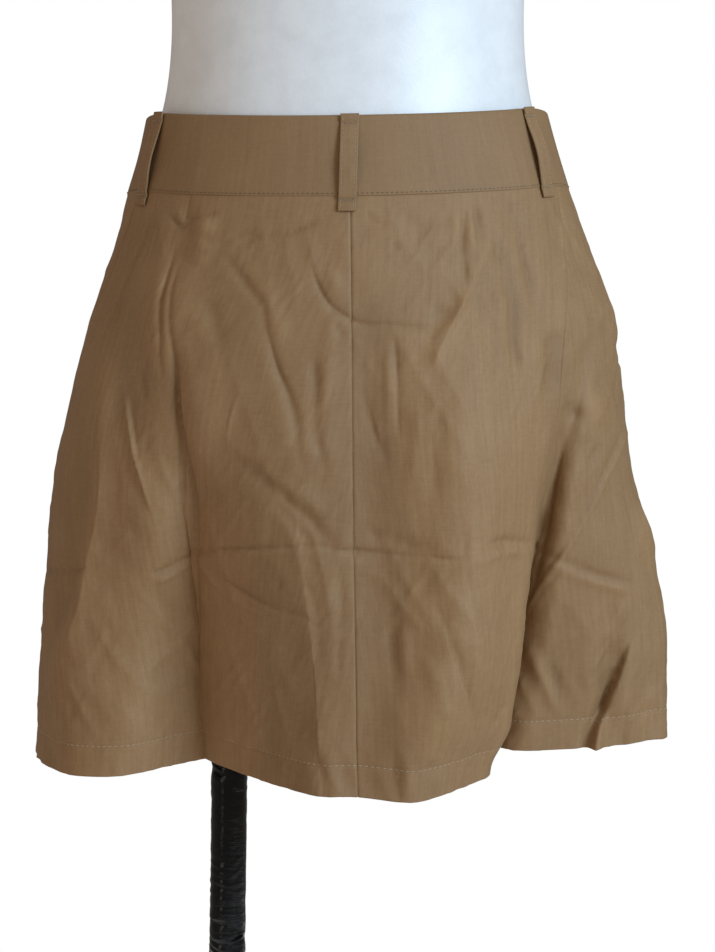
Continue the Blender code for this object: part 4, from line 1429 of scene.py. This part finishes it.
@dataclass
class Waistband:
    """The straight interlined band, lapped at the centre front."""

    drape: Drape
    finishes: Finishes
    sewing: Sewing
    wall: float = 0.0030
    height: float = 0.0542
    end: float = 6.0  # degrees that each end runs past the centre front
    lap_from: float = 20.0  # degrees before it where the upper end starts to rise
    stitch_up: float = 0.0021  # height of the stitches above the lower edge

    def lift(self, angle: Array) -> Array:
        """How far the upper end stands off the lower one."""
        lapped = self.wall + SEAM_GAP
        return lapped * smooth((angle - 180.0 + self.lap_from) / (self.lap_from - self.end))

    def face(self, angle: Array, share: Array) -> tuple[Array, Array]:
        """Points of the band's outer face with its lap, and directions out of it."""
        point, out = self.drape.band(angle, share)
        return point + out * self.lift(angle)[..., None], out

    def build(self) -> None:
        """Builds the band and its row of stitches."""
        rows = marks(self.height, 0.0021, 0.0003)
        columns = marks(0.86, 0.0021, 0.0003)
        angle = -180 - self.end + (360 + 2 * self.end) * columns[None] + 0 * rows[:, None]
        share = rows[:, None] + 0 * angle
        point, out = self.face(angle, share)
        across, down = columns[None] * 0.82 + 0 * share, share * self.height
        crumple = Crumple(23)
        wave = 0.00042 * crumple.layer(across, down, 0.030, 0.10)
        wave = wave + 0.00012 * crumple.layer(across, down, 0.009, 0.02)
        stitch = 1 - self.stitch_up / self.height
        away = (share - stitch) * self.height
        pucker = crumple.layer(across, 0 * down, 0.0075, 1.0)
        relief = wave - 0.00030 * bump(away, 0.0010) + 0.00016 * pucker * bump(away, 0.006)
        point = point + out * relief[..., None]
        full = np.minimum(
            rounded(rows, self.height, self.wall / 2)[:, None],
            rounded(columns, 0.82, self.wall / 2)[None],
        )
        flat = np.stack((across, -down), axis=-1)
        # relief * 300 paints the band's waves and the hollow of its stitch line into the colour as
        # painted shade and highlight.
        piece = folded_strip("waistband_cloth", point, out, full, self.wall, flat, relief * 300,
                             self.finishes.band)
        k = np.arange(8.0, len(columns) - 8)
        i = np.interp(stitch * np.ones(len(k)), rows, np.arange(len(rows)))
        grid = ClothGrid(point, across, down)
        self.sewing.sew(grid.at(i, k), grid.at(i, k, out), StitchKind(0.0024, 0.0009, 0.00058))
        enter(piece, "waistband")
        self.sewing.finish_piece("waistband_stitches", "band", self.finishes.deep_thread)


@dataclass(frozen=True)
class LoopPlace:
    """One belt loop: the node it stands for, its angle and how its foot leans."""

    node: str
    angle: float
    lean: float = 0.0
    bulge: float = 0.0026
    tail: float = 0.0095


@dataclass
class BeltLoops:
    """Folded strips sewn down at both ends."""

    drape: Drape
    finishes: Finishes
    sewing: Sewing
    width: float = 0.0122
    wall: float = 0.0016
    proud: float = 0.0006  # how far the loops stand above the band's top edge
    row_in: float = 0.0019  # from a loop's long edge to its row of stitches
    tacks: tuple[float, float] = (0.09, 0.885)  # shares of the length with a bar tack
    places: tuple[LoopPlace, ...] = (
        LoopPlace("belt_loop_back", -0.4, -0.0022),
        LoopPlace("belt_loop_side_left", 65.5, 0.0030, 0.0036, 0.0085),
        LoopPlace("belt_loop_side_right", -61.5, -0.0030, 0.0036, 0.0065),
        LoopPlace("belt_loop_front_left", 142.0),
        LoopPlace("belt_loop_front_right", -142.0),
    )

    def under(self, angle: Array, height: Array, tail: float) -> tuple[Array, Array]:
        """The cloth under a loop at heights above the band's seam, and the way out."""
        on_band, out = self.drape.band(angle, 1 - np.clip(height, 0, None) / BAND_HEIGHT)
        on_band[..., 2] += np.maximum(height - BAND_HEIGHT, 0)
        below = np.minimum(height, 0.0)
        on_skirt = self.drape.skirt(angle, -below / DROP)
        edge, _ = self.drape.band(angle, np.ones_like(height))
        stand = np.maximum(np.sum((edge - on_skirt) * out, axis=-1), 0.0)
        on_skirt = on_skirt + out * (stand * (1 + below / tail))[..., None]
        return np.where((height < 0)[..., None], on_skirt, on_band), out

    def build_one(self, place: LoopPlace) -> None:
        """One loop and its two rows of stitches."""
        length = BAND_HEIGHT + self.proud + place.tail
        rows, columns = marks(length, 0.0012, 0.00025), marks(self.width, 0.0009, 0.00025)
        share = rows[:, None] + 0 * columns[None]
        up = BAND_HEIGHT + self.proud - share * length
        ahead, _ = self.under(place.angle + 0.5 + 0 * share, up, place.tail)
        behind, _ = self.under(place.angle - 0.5 + 0 * share, up, place.tail)
        degree = np.linalg.norm(ahead - behind, axis=-1)
        angle = place.angle + ((columns - 0.5) * self.width)[None] / degree
        point, out = self.under(angle, up, place.tail)
        tangent = unit(np.cross(out, np.array([0.0, 0.0, -1.0])))
        point = point + tangent * (place.lean * (share - 0.3))[..., None]
        crumple = Crumple(int(place.angle) + 400)
        stand = SEAM_GAP + self.wall + place.bulge * np.sin(math.pi * share) ** 2
        fold = 0.0006 * (smooth((share - 0.90) / 0.03) + 1 - smooth((share - 0.05) / 0.03))
        relief = 0.00022 * crumple.layer(share * length, columns[None] * self.width, 0.009, 0.006)
        groove = np.abs((columns - 0.5) * self.width)[None] - (self.width / 2 - self.row_in)
        relief = relief - 0.00016 * bump(groove, 0.0006)
        for tack, deep in zip(self.tacks, (0.0004, 0.0005)):
            relief = relief - deep * bump(share - tack, 0.02)
        point = point + out * (stand + fold + relief)[..., None]
        full = np.minimum(
            rounded(rows, length, self.wall / 2)[:, None],
            rounded(columns, self.width, self.wall / 2)[None],
        )
        flat = np.stack((columns[None] * self.width + 0 * share, -share * length), axis=-1)
        # relief * 400 paints the loop's stitch grooves and bar tacks into the colour as painted
        # shade, and its swells as painted highlight.
        piece = folded_strip(place.node + "_cloth", point, out, full, self.wall, flat, relief * 400,
                             self.finishes.band)
        grid = ClothGrid(point, share, share)
        small = StitchKind(0.0024, 0.0006, 0.00038)
        r = np.arange(4, len(rows) - 4, dtype=float)
        for side in (-1, 1):
            place_across = 0.5 + side * (0.5 - self.row_in / self.width)
            column = np.interp(place_across, columns, np.arange(len(columns)))
            self.sewing.sew(grid.at(r, column + 0 * r), grid.at(r, column + 0 * r, out), small)
        for tack in self.tacks:
            self.bar_tack(grid, out, np.interp(tack, rows, np.arange(len(rows))))
        enter(piece, place.node)

    def bar_tack(self, grid: ClothGrid, out: Array, row: float) -> None:
        """Close stitches to and fro across a loop, at one of its grid's rows."""
        last = out.shape[1] - 1
        for k in range(14):
            c = last * (0.16 + 0.68 * k / 13)
            c = np.array([c, c + last * 0.04])
            r = row + np.array([-1.2, 1.2]) * (1 if k % 2 else -1)
            self.sewing.sew(grid.at(r, c), grid.at(r, c, out), StitchKind(0.0018, 0.0001, 0.00036))

    def build(self) -> None:
        """Builds the five loops."""
        for place in self.places:
            self.build_one(place)
        self.sewing.finish_piece("belt_loop_stitches", "band")


# ---- the hip form and its stand ----
@dataclass
class HipForm:
    """The limbless torso that the garment hangs on."""

    finishes: Finishes
    sides: int = 96

    def build(self) -> None:
        """Raises the torso ring by ring from its underside."""
        deselect()
        rings = sorted(FORM_SECTIONS)
        z, across, _, back, front = rings[0]
        bpy.ops.mesh.primitive_circle_add(vertices=self.sides, radius=1.0, fill_type="NGON",
                                          location=(0, 0, z))
        piece = bpy.context.object
        piece.name = piece.data.name = "form_torso_shell"
        bpy.ops.object.transform_apply(location=True)
        bpy.ops.object.mode_set(mode="EDIT")
        bpy.ops.mesh.select_all(action="SELECT")
        bpy.ops.transform.resize(value=(across, back, 1.0), center_override=(0.0, 0.0, z))
        self.shape_front(piece, z, front / back)
        for (low, x0, _, b0, f0), (high, x1, _, b1, f1) in zip(rings, rings[1:]):
            self.select_from(piece, low)
            bpy.ops.mesh.extrude_region_move(TRANSFORM_OT_translate={"value": (0, 0, high - low)})
            bpy.ops.transform.resize(value=(x1 / x0, b1 / b0, 1.0), center_override=(0, 0, high))
            self.shape_front(piece, high, (f1 / f0) / (b1 / b0))
        bpy.ops.object.mode_set(mode="OBJECT")
        self.close(piece)
        enter(piece, "form_torso", self.finishes.form)

    def select_from(self, piece: Piece, low: float) -> None:
        """Selects the points at a height and above, and what lies between them."""
        bpy.ops.mesh.select_all(action="DESELECT")
        mesh = bmesh.from_edit_mesh(piece.data)
        for vert in mesh.verts:
            vert.select = vert.co.z > low - 1e-5
        mesh.select_flush(True)
        bmesh.update_edit_mesh(piece.data)

    def shape_front(self, piece: Piece, z: float, share: float) -> None:
        """Draws the front half of the ring at a height in or out."""
        mesh = bmesh.from_edit_mesh(piece.data)
        for vert in mesh.verts:
            vert.select = abs(vert.co.z - z) < 1e-5 and vert.co.y < -1e-6
        bmesh.update_edit_mesh(piece.data)
        bpy.ops.transform.resize(value=(1.0, share, 1.0), center_override=(0, 0, z))

    def close(self, piece: Piece) -> None:
        """Insets the flat ends and smooths the rings between the sections."""
        select_only(piece)
        bpy.ops.object.mode_set(mode="EDIT")
        bpy.ops.mesh.select_all(action="DESELECT")
        mesh = bmesh.from_edit_mesh(piece.data)
        for face in mesh.faces:
            face.select = len(face.verts) > 8
        bmesh.update_edit_mesh(piece.data)
        bpy.ops.mesh.inset(thickness=0.004)
        bpy.ops.mesh.inset(thickness=0.03)
        bpy.ops.mesh.select_all(action="SELECT")
        bpy.ops.mesh.normals_make_consistent(inside=False)
        bpy.ops.object.mode_set(mode="OBJECT")
        apply_modifier(piece, "SUBSURF", levels=2, render_levels=2)
        bpy.ops.object.shade_smooth()


def select_only(piece: Piece) -> None:
    """Makes one piece the selected and active one."""
    deselect()
    piece.select_set(True)
    bpy.context.view_layer.objects.active = piece


def new_finish(piece: Piece, finish: Finish) -> None:
    """Gives a piece its one material."""
    piece.data.materials.clear()
    piece.data.materials.append(finish)


# ---- the inner shorts ----
@dataclass
class Shorts:
    """Two plain halves that hang inside the skirt, with hemmed legs."""

    finishes: Finishes
    sewing: Sewing
    wall: float = 0.0010
    crotch_top: float = 0.485
    crotch_low: float = 0.440
    hem: float = 0.345
    leg_x: float = 0.088
    leg_wide: float = 0.080
    leg_deep: float = 0.048
    inside: float = 40.0  # degrees of a leg's round on each side of its inner seam
    tuck: float = 0.0006
    hem_depth: float = 0.020
    seat_rows: int = 44
    leg_rows: int = 40
    strips: int = 110
    crotch_strips: int = 24
    tube: SectionStack = field(default_factory=lambda: SectionStack(SHORTS_SECTIONS))

    def leg(self, side: float, turn: Array, z: Array) -> Array:
        """Points of a leg's open end."""
        return np.stack((
            side * (self.leg_x + self.leg_wide * np.sin(turn)),
            self.leg_deep * np.cos(turn) + 0 * z,
            z + 0 * turn,
        ), axis=-1)

    def seat(self, side: float) -> Array:
        """The outer face from the waist to the hem, centre back to centre front."""
        share = np.linspace(0, 1, self.seat_rows + 1)[:-1, None]
        angle = np.linspace(0, 180, self.strips + 1)[None]
        z = BAND_SEAM_Z + (self.crotch_top - BAND_SEAM_Z) * share + 0 * angle
        point, _ = self.tube.place(side * angle + 0 * share, z)
        point[..., 2] -= (waist_dip(angle) + SIT_TILT * point[..., 0]) * (1 - share)
        point[0, :, 2] -= self.tuck
        fall = np.linspace(0, 1, self.leg_rows + 1)[:, None]
        low = self.crotch_top - fall * (self.crotch_top - self.hem) + 0 * angle
        body, _ = self.tube.place(side * angle + 0 * fall, low)
        turn = np.radians(-self.inside + angle * (180 + 2 * self.inside) / 180)
        eased = smooth(fall)[..., None]
        legs = body * (1 - eased) + self.leg(side, turn + 0 * fall, low) * eased
        rows = np.concatenate((point, legs))
        rows[: self.seat_rows + 1, [0, -1], 0] = side * SEAM_GAP / 2
        return rows

    def crotch(self, side: float, seat: Array) -> Array:
        """The inner side of a leg, from the back seam to the front one."""
        fall = np.linspace(0, 1, self.leg_rows + 1)[:, None]
        across = np.linspace(0, 1, self.crotch_strips + 1)[None]
        turn = np.radians(-self.inside - across * (180 - 2 * self.inside))
        swing = np.cos(math.pi * across)
        back, front = (float(size(self.crotch_top)) for size in self.tube.sizes[2:])
        drop = (self.crotch_top - self.crotch_low) * np.sin(math.pi * across)
        seam = np.stack((
            0 * across + side * SEAM_GAP / 2,
            np.where(swing > 0, back, front) * swing,
            self.crotch_top - drop,
        ), axis=-1)
        leg = self.leg(side, turn, 0 * turn + self.hem)
        eased, even = smooth(fall)[..., None], fall[..., None]
        rows = seam * (1 - eased) + leg * eased
        rows[..., 2] = (seam * (1 - even) + leg * even)[..., 2]
        rows[:, 0], rows[:, -1] = seat[self.seat_rows:, 0], seat[self.seat_rows:, -1]
        return rows

    def relax(self, rows: Array, seed: int) -> Array:
        """The grid with soft hanging folds, seams and a hem pressed into it."""
        grid = ClothGrid(rows, rows[..., 0], rows[..., 2])
        grid.across, grid.down = grid.edge_distance(True), grid.hem_distance()
        crumple = Crumple(seed)
        edges = np.minimum(grid.edge_distance(True), grid.edge_distance(False))
        free = smooth(edges / 0.012) * smooth((0.64 - rows[..., 2]) / 0.05)
        wave = 0.0009 * crumple.layer(grid.across, grid.down, 0.026, 0.16)
        wave = wave + 0.0003 * crumple.sharp(grid.across, grid.down, 0.014, 0.03)
        hem = -0.00035 * bump(grid.down - self.hem_depth, 0.0016)
        hem = hem * smooth((0.44 - rows[..., 2]) / 0.02)
        sign = 1.0 if np.mean(grid.normals()[..., 0] * rows[..., 0]) > 0 else -1.0
        # the skirt's deep fold pushes the right leg in at the back
        pushed = bump(np.hypot(rows[..., 0] + 0.122, rows[..., 1] - 0.044), 0.022)
        pushed = 0.0065 * pushed * smooth((0.44 - rows[..., 2]) / 0.04)
        return rows + grid.normals() * (sign * ((wave - 0.0012) * free + hem - pushed))[..., None]

    def half(self, node: str, side: float) -> None:
        """Builds one half as a closed thin shell."""
        seat = self.seat(side)
        crotch = self.crotch(side, seat)
        seat = self.relax(seat, 61 if side > 0 else 67)
        crotch[:, 0], crotch[:, -1] = seat[self.seat_rows:, 0], seat[self.seat_rows:, -1]
        points, faces, flat = [], [], []
        start = 0
        for rows, turned in ((seat, side < 0), (crotch, side > 0)):
            rows = rows[:, ::-1] if turned else rows
            grid = ClothGrid(rows, rows[..., 0], rows[..., 2])
            k = start + np.arange(rows.shape[0] * rows.shape[1]).reshape(rows.shape[:2])
            faces += quads(k)
            points.append(rows.reshape(-1, 3))
            flat.append(np.stack((grid.edge_distance(True), rows[..., 2]), axis=-1).reshape(-1, 2))
            start += k.size
        mesh = cloth_mesh(node + "_cloth", np.vstack(points), faces, np.vstack(flat),
                          np.zeros(start))
        welded = bmesh.new()
        welded.from_mesh(mesh)
        bmesh.ops.remove_doubles(welded, verts=welded.verts, dist=2e-6)
        welded.to_mesh(mesh)
        welded.free()
        piece = new_object(node + "_cloth", mesh, self.finishes.shorts)
        select_only(piece)
        apply_modifier(piece, "SOLIDIFY", thickness=self.wall, offset=-1.0, use_rim=True)
        bpy.ops.object.shade_smooth_by_angle(angle=math.radians(50))
        self.sew_leg(seat, crotch, side)
        enter(piece, node)

    def sew_leg(self, seat: Array, crotch: Array, side: float) -> None:
        """Stitches round the hem of a leg."""
        for rows in (seat, crotch):
            grid = ClothGrid(rows, rows[..., 0], rows[..., 2])
            where = grid.row_above_hem(self.hem_depth)
            line = grid.at(where, np.arange(len(where), dtype=float))
            centre = np.array([side * self.leg_x, 0.0, 0.0])
            out = unit((line - centre) * np.array([1.0, 1.0, 0.0]))
            self.sewing.sew(line + out * 0.0001, out)

    def build(self) -> None:
        """Builds both halves and their stitches."""
        self.half("shorts_left", 1.0)
        self.half("shorts_right", -1.0)
        self.sewing.finish_piece("shorts_stitches", "shorts")


# ---- the front opening ----
@dataclass
class FrontOpening:
    """The button, its buttonhole and the fly's stitches."""

    band: Waistband
    skirt: Skirt
    finishes: Finishes
    sewing: Sewing
    radius: float = 0.0085
    thick: float = 0.0030
    z: float = 0.656
    fly_width: float = 0.033
    fly_turn: float = 0.115
    fly_length: float = 0.150
    hole: float = 0.00125  # from the button's middle to its holes, each way

    def seat(self) -> tuple[Vector, Matrix]:
        """Where the button rests and how it is turned."""
        share = np.array((BAND_TOP_Z - FRONT_DIP - self.z) / BAND_HEIGHT)
        angle = np.array(180.0)
        point, out = self.band.drape.band(angle, share)
        above, _ = self.band.drape.band(angle, share - 0.1)
        below, _ = self.band.drape.band(angle, share + 0.1)
        face = unit(np.cross(below - above, np.array([1.0, 0.0, 0.0])))
        face = face if face @ out > 0 else -face
        rest = point + out * (float(self.band.lift(angle)) + SEAM_GAP + 0.0001)
        return Vector(rest), Vector(face).to_track_quat("Z", "Y").to_matrix().to_4x4()

    def button(self) -> None:
        """A dished four-hole button with a round rim, and the threads through it."""
        deselect()
        bpy.ops.mesh.primitive_cylinder_add(vertices=56, radius=self.radius, depth=self.thick,
                                            location=(0, 0, self.thick / 2))
        piece = bpy.context.object
        piece.name = piece.data.name = "button_turned"
        bpy.ops.object.transform_apply(location=True)
        bpy.ops.object.mode_set(mode="EDIT")
        bpy.ops.mesh.select_all(action="DESELECT")
        mesh = bmesh.from_edit_mesh(piece.data)
        for face in mesh.faces:
            face.select = face.normal.z > 0.9
        bmesh.update_edit_mesh(piece.data)
        bpy.ops.mesh.inset(thickness=0.0021)
        bpy.ops.mesh.inset(thickness=0.0005)
        bpy.ops.transform.translate(value=(0, 0, -0.0009))
        bpy.ops.object.mode_set(mode="OBJECT")
        for x, y in ((1, 1), (-1, 1), (-1, -1), (1, -1)):
            self.drill(piece, self.hole * x, self.hole * y)
        select_only(piece)
        round_edges(piece, 0.00035, 35)
        seat, turn = self.seat()
        piece.data.transform(Matrix.Translation(seat) @ turn)
        enter(piece, "button", self.finishes.button)
        out = np.array(turn.to_3x3() @ Vector((0, 0, 1)))
        level = self.thick - 0.0007
        for y in (self.hole, -self.hole):
            for shift in (-0.00022, 0.00022):
                ends = [Vector((x, y + shift, level)) for x in (-0.0016, 0.0016)]
                line = np.array([seat + turn.to_3x3() @ end for end in ends])
                self.sewing.sew(line, np.array([out, out]), StitchKind(0.0029, 0.0001, 0.0004))

    def drill(self, piece: Piece, x: float, y: float) -> None:
        """Cuts one hole through the button."""
        deselect()
        bpy.ops.mesh.primitive_cylinder_add(vertices=16, radius=0.00062, depth=0.01,
                                            location=(x, y, 0))
        tool = bpy.context.object
        select_only(piece)
        apply_modifier(piece, "BOOLEAN", operation="DIFFERENCE", object=tool)
        bpy.data.objects.remove(tool, do_unlink=True)

    def buttonhole(self) -> None:
        """Close stitches on both sides of the buttonhole and at its outer end."""
        height = (BAND_TOP_Z - FRONT_DIP - self.z) / BAND_HEIGHT
        for angle in 176.0 + 10.5 * np.arange(44) / 43 - 3.0:
            for side in (-1, 1):
                share = height + side * np.array([0.0004, 0.0021]) / BAND_HEIGHT
                angles = np.array([angle, angle]) - 360.0 * (angle > 180 + self.band.end)
                point, out = self.band.face(angles, share)
                self.sewing.sew(point + out * 0.0001, out, StitchKind(0.0015, 0.0001, 0.0004))

    def fly(self) -> None:
        """One curved row of stitches down the wearer's left front."""
        grid = self.skirt.grids["skirt_front_left"]
        from_edge, down = grid.edge_distance(False), grid.down
        normals = grid.normals()
        line, out = [], []
        for step in np.linspace(0.002, 1.0, 90):
            fall = step * self.fly_length
            bend = np.clip((fall - self.fly_turn) / (self.fly_length - self.fly_turn), 0, 1)
            inset = self.fly_width * math.sqrt(max(1 - bend * bend, 0.0)) + 0.0012
            row = np.interp(fall, down[:, 0], np.arange(len(down)))
            r = int(round(row))
            column = np.interp(-inset, -from_edge[r], np.arange(from_edge.shape[1], dtype=float))
            line.append(grid.at(np.array([row]), np.array([column]))[0])
            out.append(grid.at(np.array([row]), np.array([column]), normals)[0])
        self.sewing.sew(np.array(line), np.array(out))
        tack = StitchKind(0.005, 0.0001, 0.00045)
        for spot in (70, 89):
            along = unit(line[spot] - line[spot - 1])
            for k in range(6):
                place = line[spot] + np.cross(out[spot], along) * 0.0005 * (k - 2.5)
                ends = np.array([place - along * 0.0028, place + along * 0.0028])
                self.sewing.sew(ends, np.array([out[spot], out[spot]]), tack)

    def build(self) -> None:
        """Builds the opening and its stitches."""
        self.button()
        self.buttonhole()
        self.fly()
        self.sewing.finish_piece("front_stitches", "band")


# ---- the stand ----
@dataclass
class Stand:
    """A pole wrapped in creased film, between a socket in the form and a round foot."""

    finishes: Finishes
    pole_radius: float = 0.0127
    low: float = 0.0093
    high: float = 0.478
    foot_x: float = 0.0877
    head_x: float = 0.0800
    foot_top: float = 0.009
    bore: float = 0.0130
    sides: int = 96

    def lean(self, z: Array) -> Array:
        """Where the pole's middle stands at heights."""
        share = (z - self.foot_top) / (self.high - self.foot_top)
        return self.foot_x + (self.head_x - self.foot_x) * share

    def wrinkles(self, turn: Array, z: Array) -> Array:
        """Heights of the film's creases, which run round the pole and bend."""
        crumple = Crumple(83)
        slant = z + 0.0030 * np.sin(turn + 40 * z) + 0.0022 * np.sin(2 * turn + 90 * z)
        across = self.pole_radius * (turn + math.pi)
        wear_and_painted_shade = smooth(0.55 + 0.8 * crumple.layer(across, z, 0.03, 0.05))
        fold = crumple.sharp(across, slant, 0.021, 0.0066)
        small = crumple.sharp(across + 2.0, slant, 0.011, 0.0030)
        ends = smooth((z - 0.040) / 0.01) * smooth((0.450 - z) / 0.01)
        seam = 1 - 0.9 * bump(np.abs(turn) - math.pi, 0.2)
        return (0.00044 * fold + 0.00018 * small) * (0.25 + 0.75 * wear_and_painted_shade) * ends * seam

    def pole(self) -> None:
        """Rolls a fine grid into a tube, creases it and closes its ends."""
        deselect()
        bpy.ops.mesh.primitive_grid_add(x_subdivisions=self.sides, y_subdivisions=460, size=1.0)
        piece = bpy.context.object
        piece.name = piece.data.name = "form_pole_film"
        count = len(piece.data.vertices)
        flat = np.zeros(count * 3)
        piece.data.vertices.foreach_get("co", flat)
        flat = flat.reshape(-1, 3)
        turn = flat[:, 0] * 2 * math.pi
        z = self.low + (flat[:, 1] + 0.5) * (self.high - self.low)
        radius = self.pole_radius + self.wrinkles(turn, z)
        placed = (self.lean(z) + radius * np.sin(turn), -radius * np.cos(turn), z)
        piece.data.vertices.foreach_set("co", np.stack(placed, axis=-1).ravel())
        self.close(piece)
        bpy.ops.object.shade_smooth_by_angle(angle=math.radians(60))
        enter(piece, "form_pole", self.finishes.film)

    def close(self, piece: Piece) -> None:
        """Welds the roll's edges, fills its open ends and turns the faces outwards."""
        select_only(piece)
        bpy.ops.object.mode_set(mode="EDIT")
        bpy.ops.mesh.select_all(action="SELECT")
        bpy.ops.mesh.remove_doubles(threshold=0.00001)
        bpy.ops.mesh.select_all(action="DESELECT")
        bpy.ops.mesh.select_mode(type="EDGE")
        mesh = bmesh.from_edit_mesh(piece.data)
        open_edges = [edge for edge in mesh.edges if edge.is_boundary]
        if open_edges:
            bmesh.ops.holes_fill(mesh, edges=open_edges, sides=0)
        bmesh.update_edit_mesh(piece.data)
        bpy.ops.mesh.select_mode(type="VERT")
        bpy.ops.mesh.select_all(action="SELECT")
        bpy.ops.mesh.normals_make_consistent(inside=False)
        bpy.ops.object.mode_set(mode="OBJECT")

    def turned(self, node: str, profile: Sequence[tuple[float, float]], leaning: bool,
               bevel: float) -> None:
        """Spins a profile into a round piece and softens its edges.

        Args:
            node: The node it stands for.
            profile: Points as (radius, height), in order, that close on themselves.
            leaning: Whether the piece follows the pole's lean.
            bevel: How far its edges are rounded, in metres.
        """
        mesh = bpy.data.meshes.new(node + "_turned")
        edges = [(k, (k + 1) % len(profile)) for k in range(len(profile))]
        mesh.from_pydata([(radius, 0.0, z) for radius, z in profile], edges, [])
        piece = bpy.data.objects.new(mesh.name, mesh)
        bpy.context.scene.collection.objects.link(piece)
        select_only(piece)
        bpy.ops.object.mode_set(mode="EDIT")
        bpy.ops.mesh.select_all(action="SELECT")
        bpy.ops.mesh.spin(steps=128, angle=2 * math.pi, center=(0, 0, 0), axis=(0, 0, 1))
        bpy.ops.object.mode_set(mode="OBJECT")
        self.close(piece)
        round_edges(piece, bevel, 25)
        if leaning:
            for vert in piece.data.vertices:
                vert.co.x += float(self.lean(vert.co.z))
        enter(piece, node, self.finishes.coat)

    def build(self) -> None:
        """Builds the four parts of the stand."""
        self.pole()
        bore = self.bore
        self.turned("pole_collar", (
            (bore, 0.035), (0.017, 0.035), (0.021, 0.029), (0.021, 0.0093), (bore, 0.0093),
        ), True, 0.0006)
        self.turned("pole_socket", (
            (0.034, 0.4877), (0.034, 0.4837), (0.0205, 0.4837), (0.0165, 0.4787), (0.0165, 0.4577),
            (bore, 0.4577), (bore, 0.4783), (0.0001, 0.4783), (0.0001, 0.4877),
        ), True, 0.0005)
        self.turned("form_foot", (
            (0.0001, 0.009), (0.040, 0.009), (0.159, 0.009), (0.1635, 0.0075), (0.165, 0.003),
            (0.165, 0.0), (0.0001, 0.0),
        ), False, 0.0006)


# ---- the studio ----
class Studio:
    """Camera, lights, white surroundings and a pale floor."""

    def camera(self) -> None:
        """The photograph's viewing angle."""
        lens = bpy.data.cameras.new("camera")
        lens.sensor_width = 36.0
        lens.sensor_fit = "AUTO"
        lens.lens = VIEW_FOCAL
        lens.clip_end = 50.0
        camera = bpy.data.objects.new("camera", lens)
        camera.location = VIEWER_EYE
        camera.rotation_euler = (math.radians(90 - VIEW_TILT), 0.0, math.radians(180))
        bpy.context.scene.collection.objects.link(camera)
        bpy.context.scene.camera = camera

    def lamp(self, name: str, place: tuple, size: float, power: float, colour: tuple) -> None:
        """A square soft lamp that faces the garment.

        Args:
            name: Its name.
            place: Where it stands.
            size: The length of its side.
            power: Watts.
            colour: Linear red, green and blue.
        """
        data = bpy.data.lights.new(name, "AREA")
        data.shape, data.size, data.energy, data.color = "SQUARE", size, power, colour
        lamp = bpy.data.objects.new(name, data)
        lamp.location = place
        away = Vector(place) - Vector((0, 0, 0.5))
        lamp.rotation_euler = away.to_track_quat("Z", "Y").to_euler()
        bpy.context.scene.collection.objects.link(lamp)

    def surroundings(self) -> None:
        """White behind the object, and dim warm light from all round."""
        world = bpy.data.worlds.new("surroundings")
        world.use_nodes = True
        bpy.context.scene.world = world
        tree = world.node_tree
        tree.nodes.clear()
        path = tree.nodes.new("ShaderNodeLightPath")
        fainter = tree.nodes.new("ShaderNodeMapRange")
        fainter.inputs["To Min"].default_value, fainter.inputs["To Max"].default_value = 0.48, 0.20
        dim, white = tree.nodes.new("ShaderNodeBackground"), tree.nodes.new("ShaderNodeBackground")
        dim.inputs["Color"].default_value = (1.0, 0.91, 0.83, 1.0)
        tree.links.new(path.outputs["Is Glossy Ray"], fainter.inputs["Value"])
        tree.links.new(fainter.outputs[0], dim.inputs["Strength"])
        white.inputs["Color"].default_value = (1.0, 1.0, 1.0, 1.0)
        mix = tree.nodes.new("ShaderNodeMixShader")
        out = tree.nodes.new("ShaderNodeOutputWorld")
        tree.links.new(path.outputs["Is Camera Ray"], mix.inputs[0])
        tree.links.new(dim.outputs[0], mix.inputs[1])
        tree.links.new(white.outputs[0], mix.inputs[2])
        tree.links.new(mix.outputs[0], out.inputs["Surface"])

    def floor(self) -> None:
        """A round pale floor that is a little bright of itself."""
        deselect()
        bpy.ops.mesh.primitive_circle_add(vertices=128, radius=0.30, fill_type="NGON",
                                          location=(0, 0, -0.0004))
        floor = bpy.context.object
        floor.name = "floor"
        g = Graph("pale_floor")
        grain = g.bump(g.noise(g.place(), 400.0), 0.05, 0.0005)
        g.feed(g.shader, {"Base Color": (0.88, 0.88, 0.88, 1.0), "Roughness": 0.7, "Normal": grain,
                          "Emission Strength": 0.42, "Emission Color": (1.0, 1.0, 1.0, 1.0)})
        new_finish(floor, g.material)

    def build(self) -> None:
        """Sets up all but the camera."""
        bpy.context.scene.view_settings.view_transform = "Standard"
        bpy.context.scene.view_settings.look = "None"
        self.surroundings()
        self.floor()
        self.lamp("window", (-2.1, 2.0, 1.5), 1.3, 88.0, (0.56, 0.78, 1.0))
        self.lamp("bounce", (1.9, 2.1, 0.3), 0.7, 2.6, (1.0, 0.92, 0.84))


def main() -> None:
    """Builds the object's looks piece by piece."""
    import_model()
    studio = Studio()
    studio.camera()
    finishes = Finishes()
    drape = Drape()
    sewing = Sewing(finishes.thread)
    skirt = Skirt(drape, finishes, sewing)
    skirt.build()
    band = Waistband(drape, finishes, sewing)
    band.build()
    BeltLoops(drape, finishes, sewing).build()
    Shorts(finishes, sewing).build()
    FrontOpening(band, skirt, finishes, sewing).build()
    HipForm(finishes).build()
    Stand(finishes).build()
    studio.build()


if __name__ == "__main__":
    logging.basicConfig(level=logging.INFO, format="%(name)s: %(message)s")
    main()
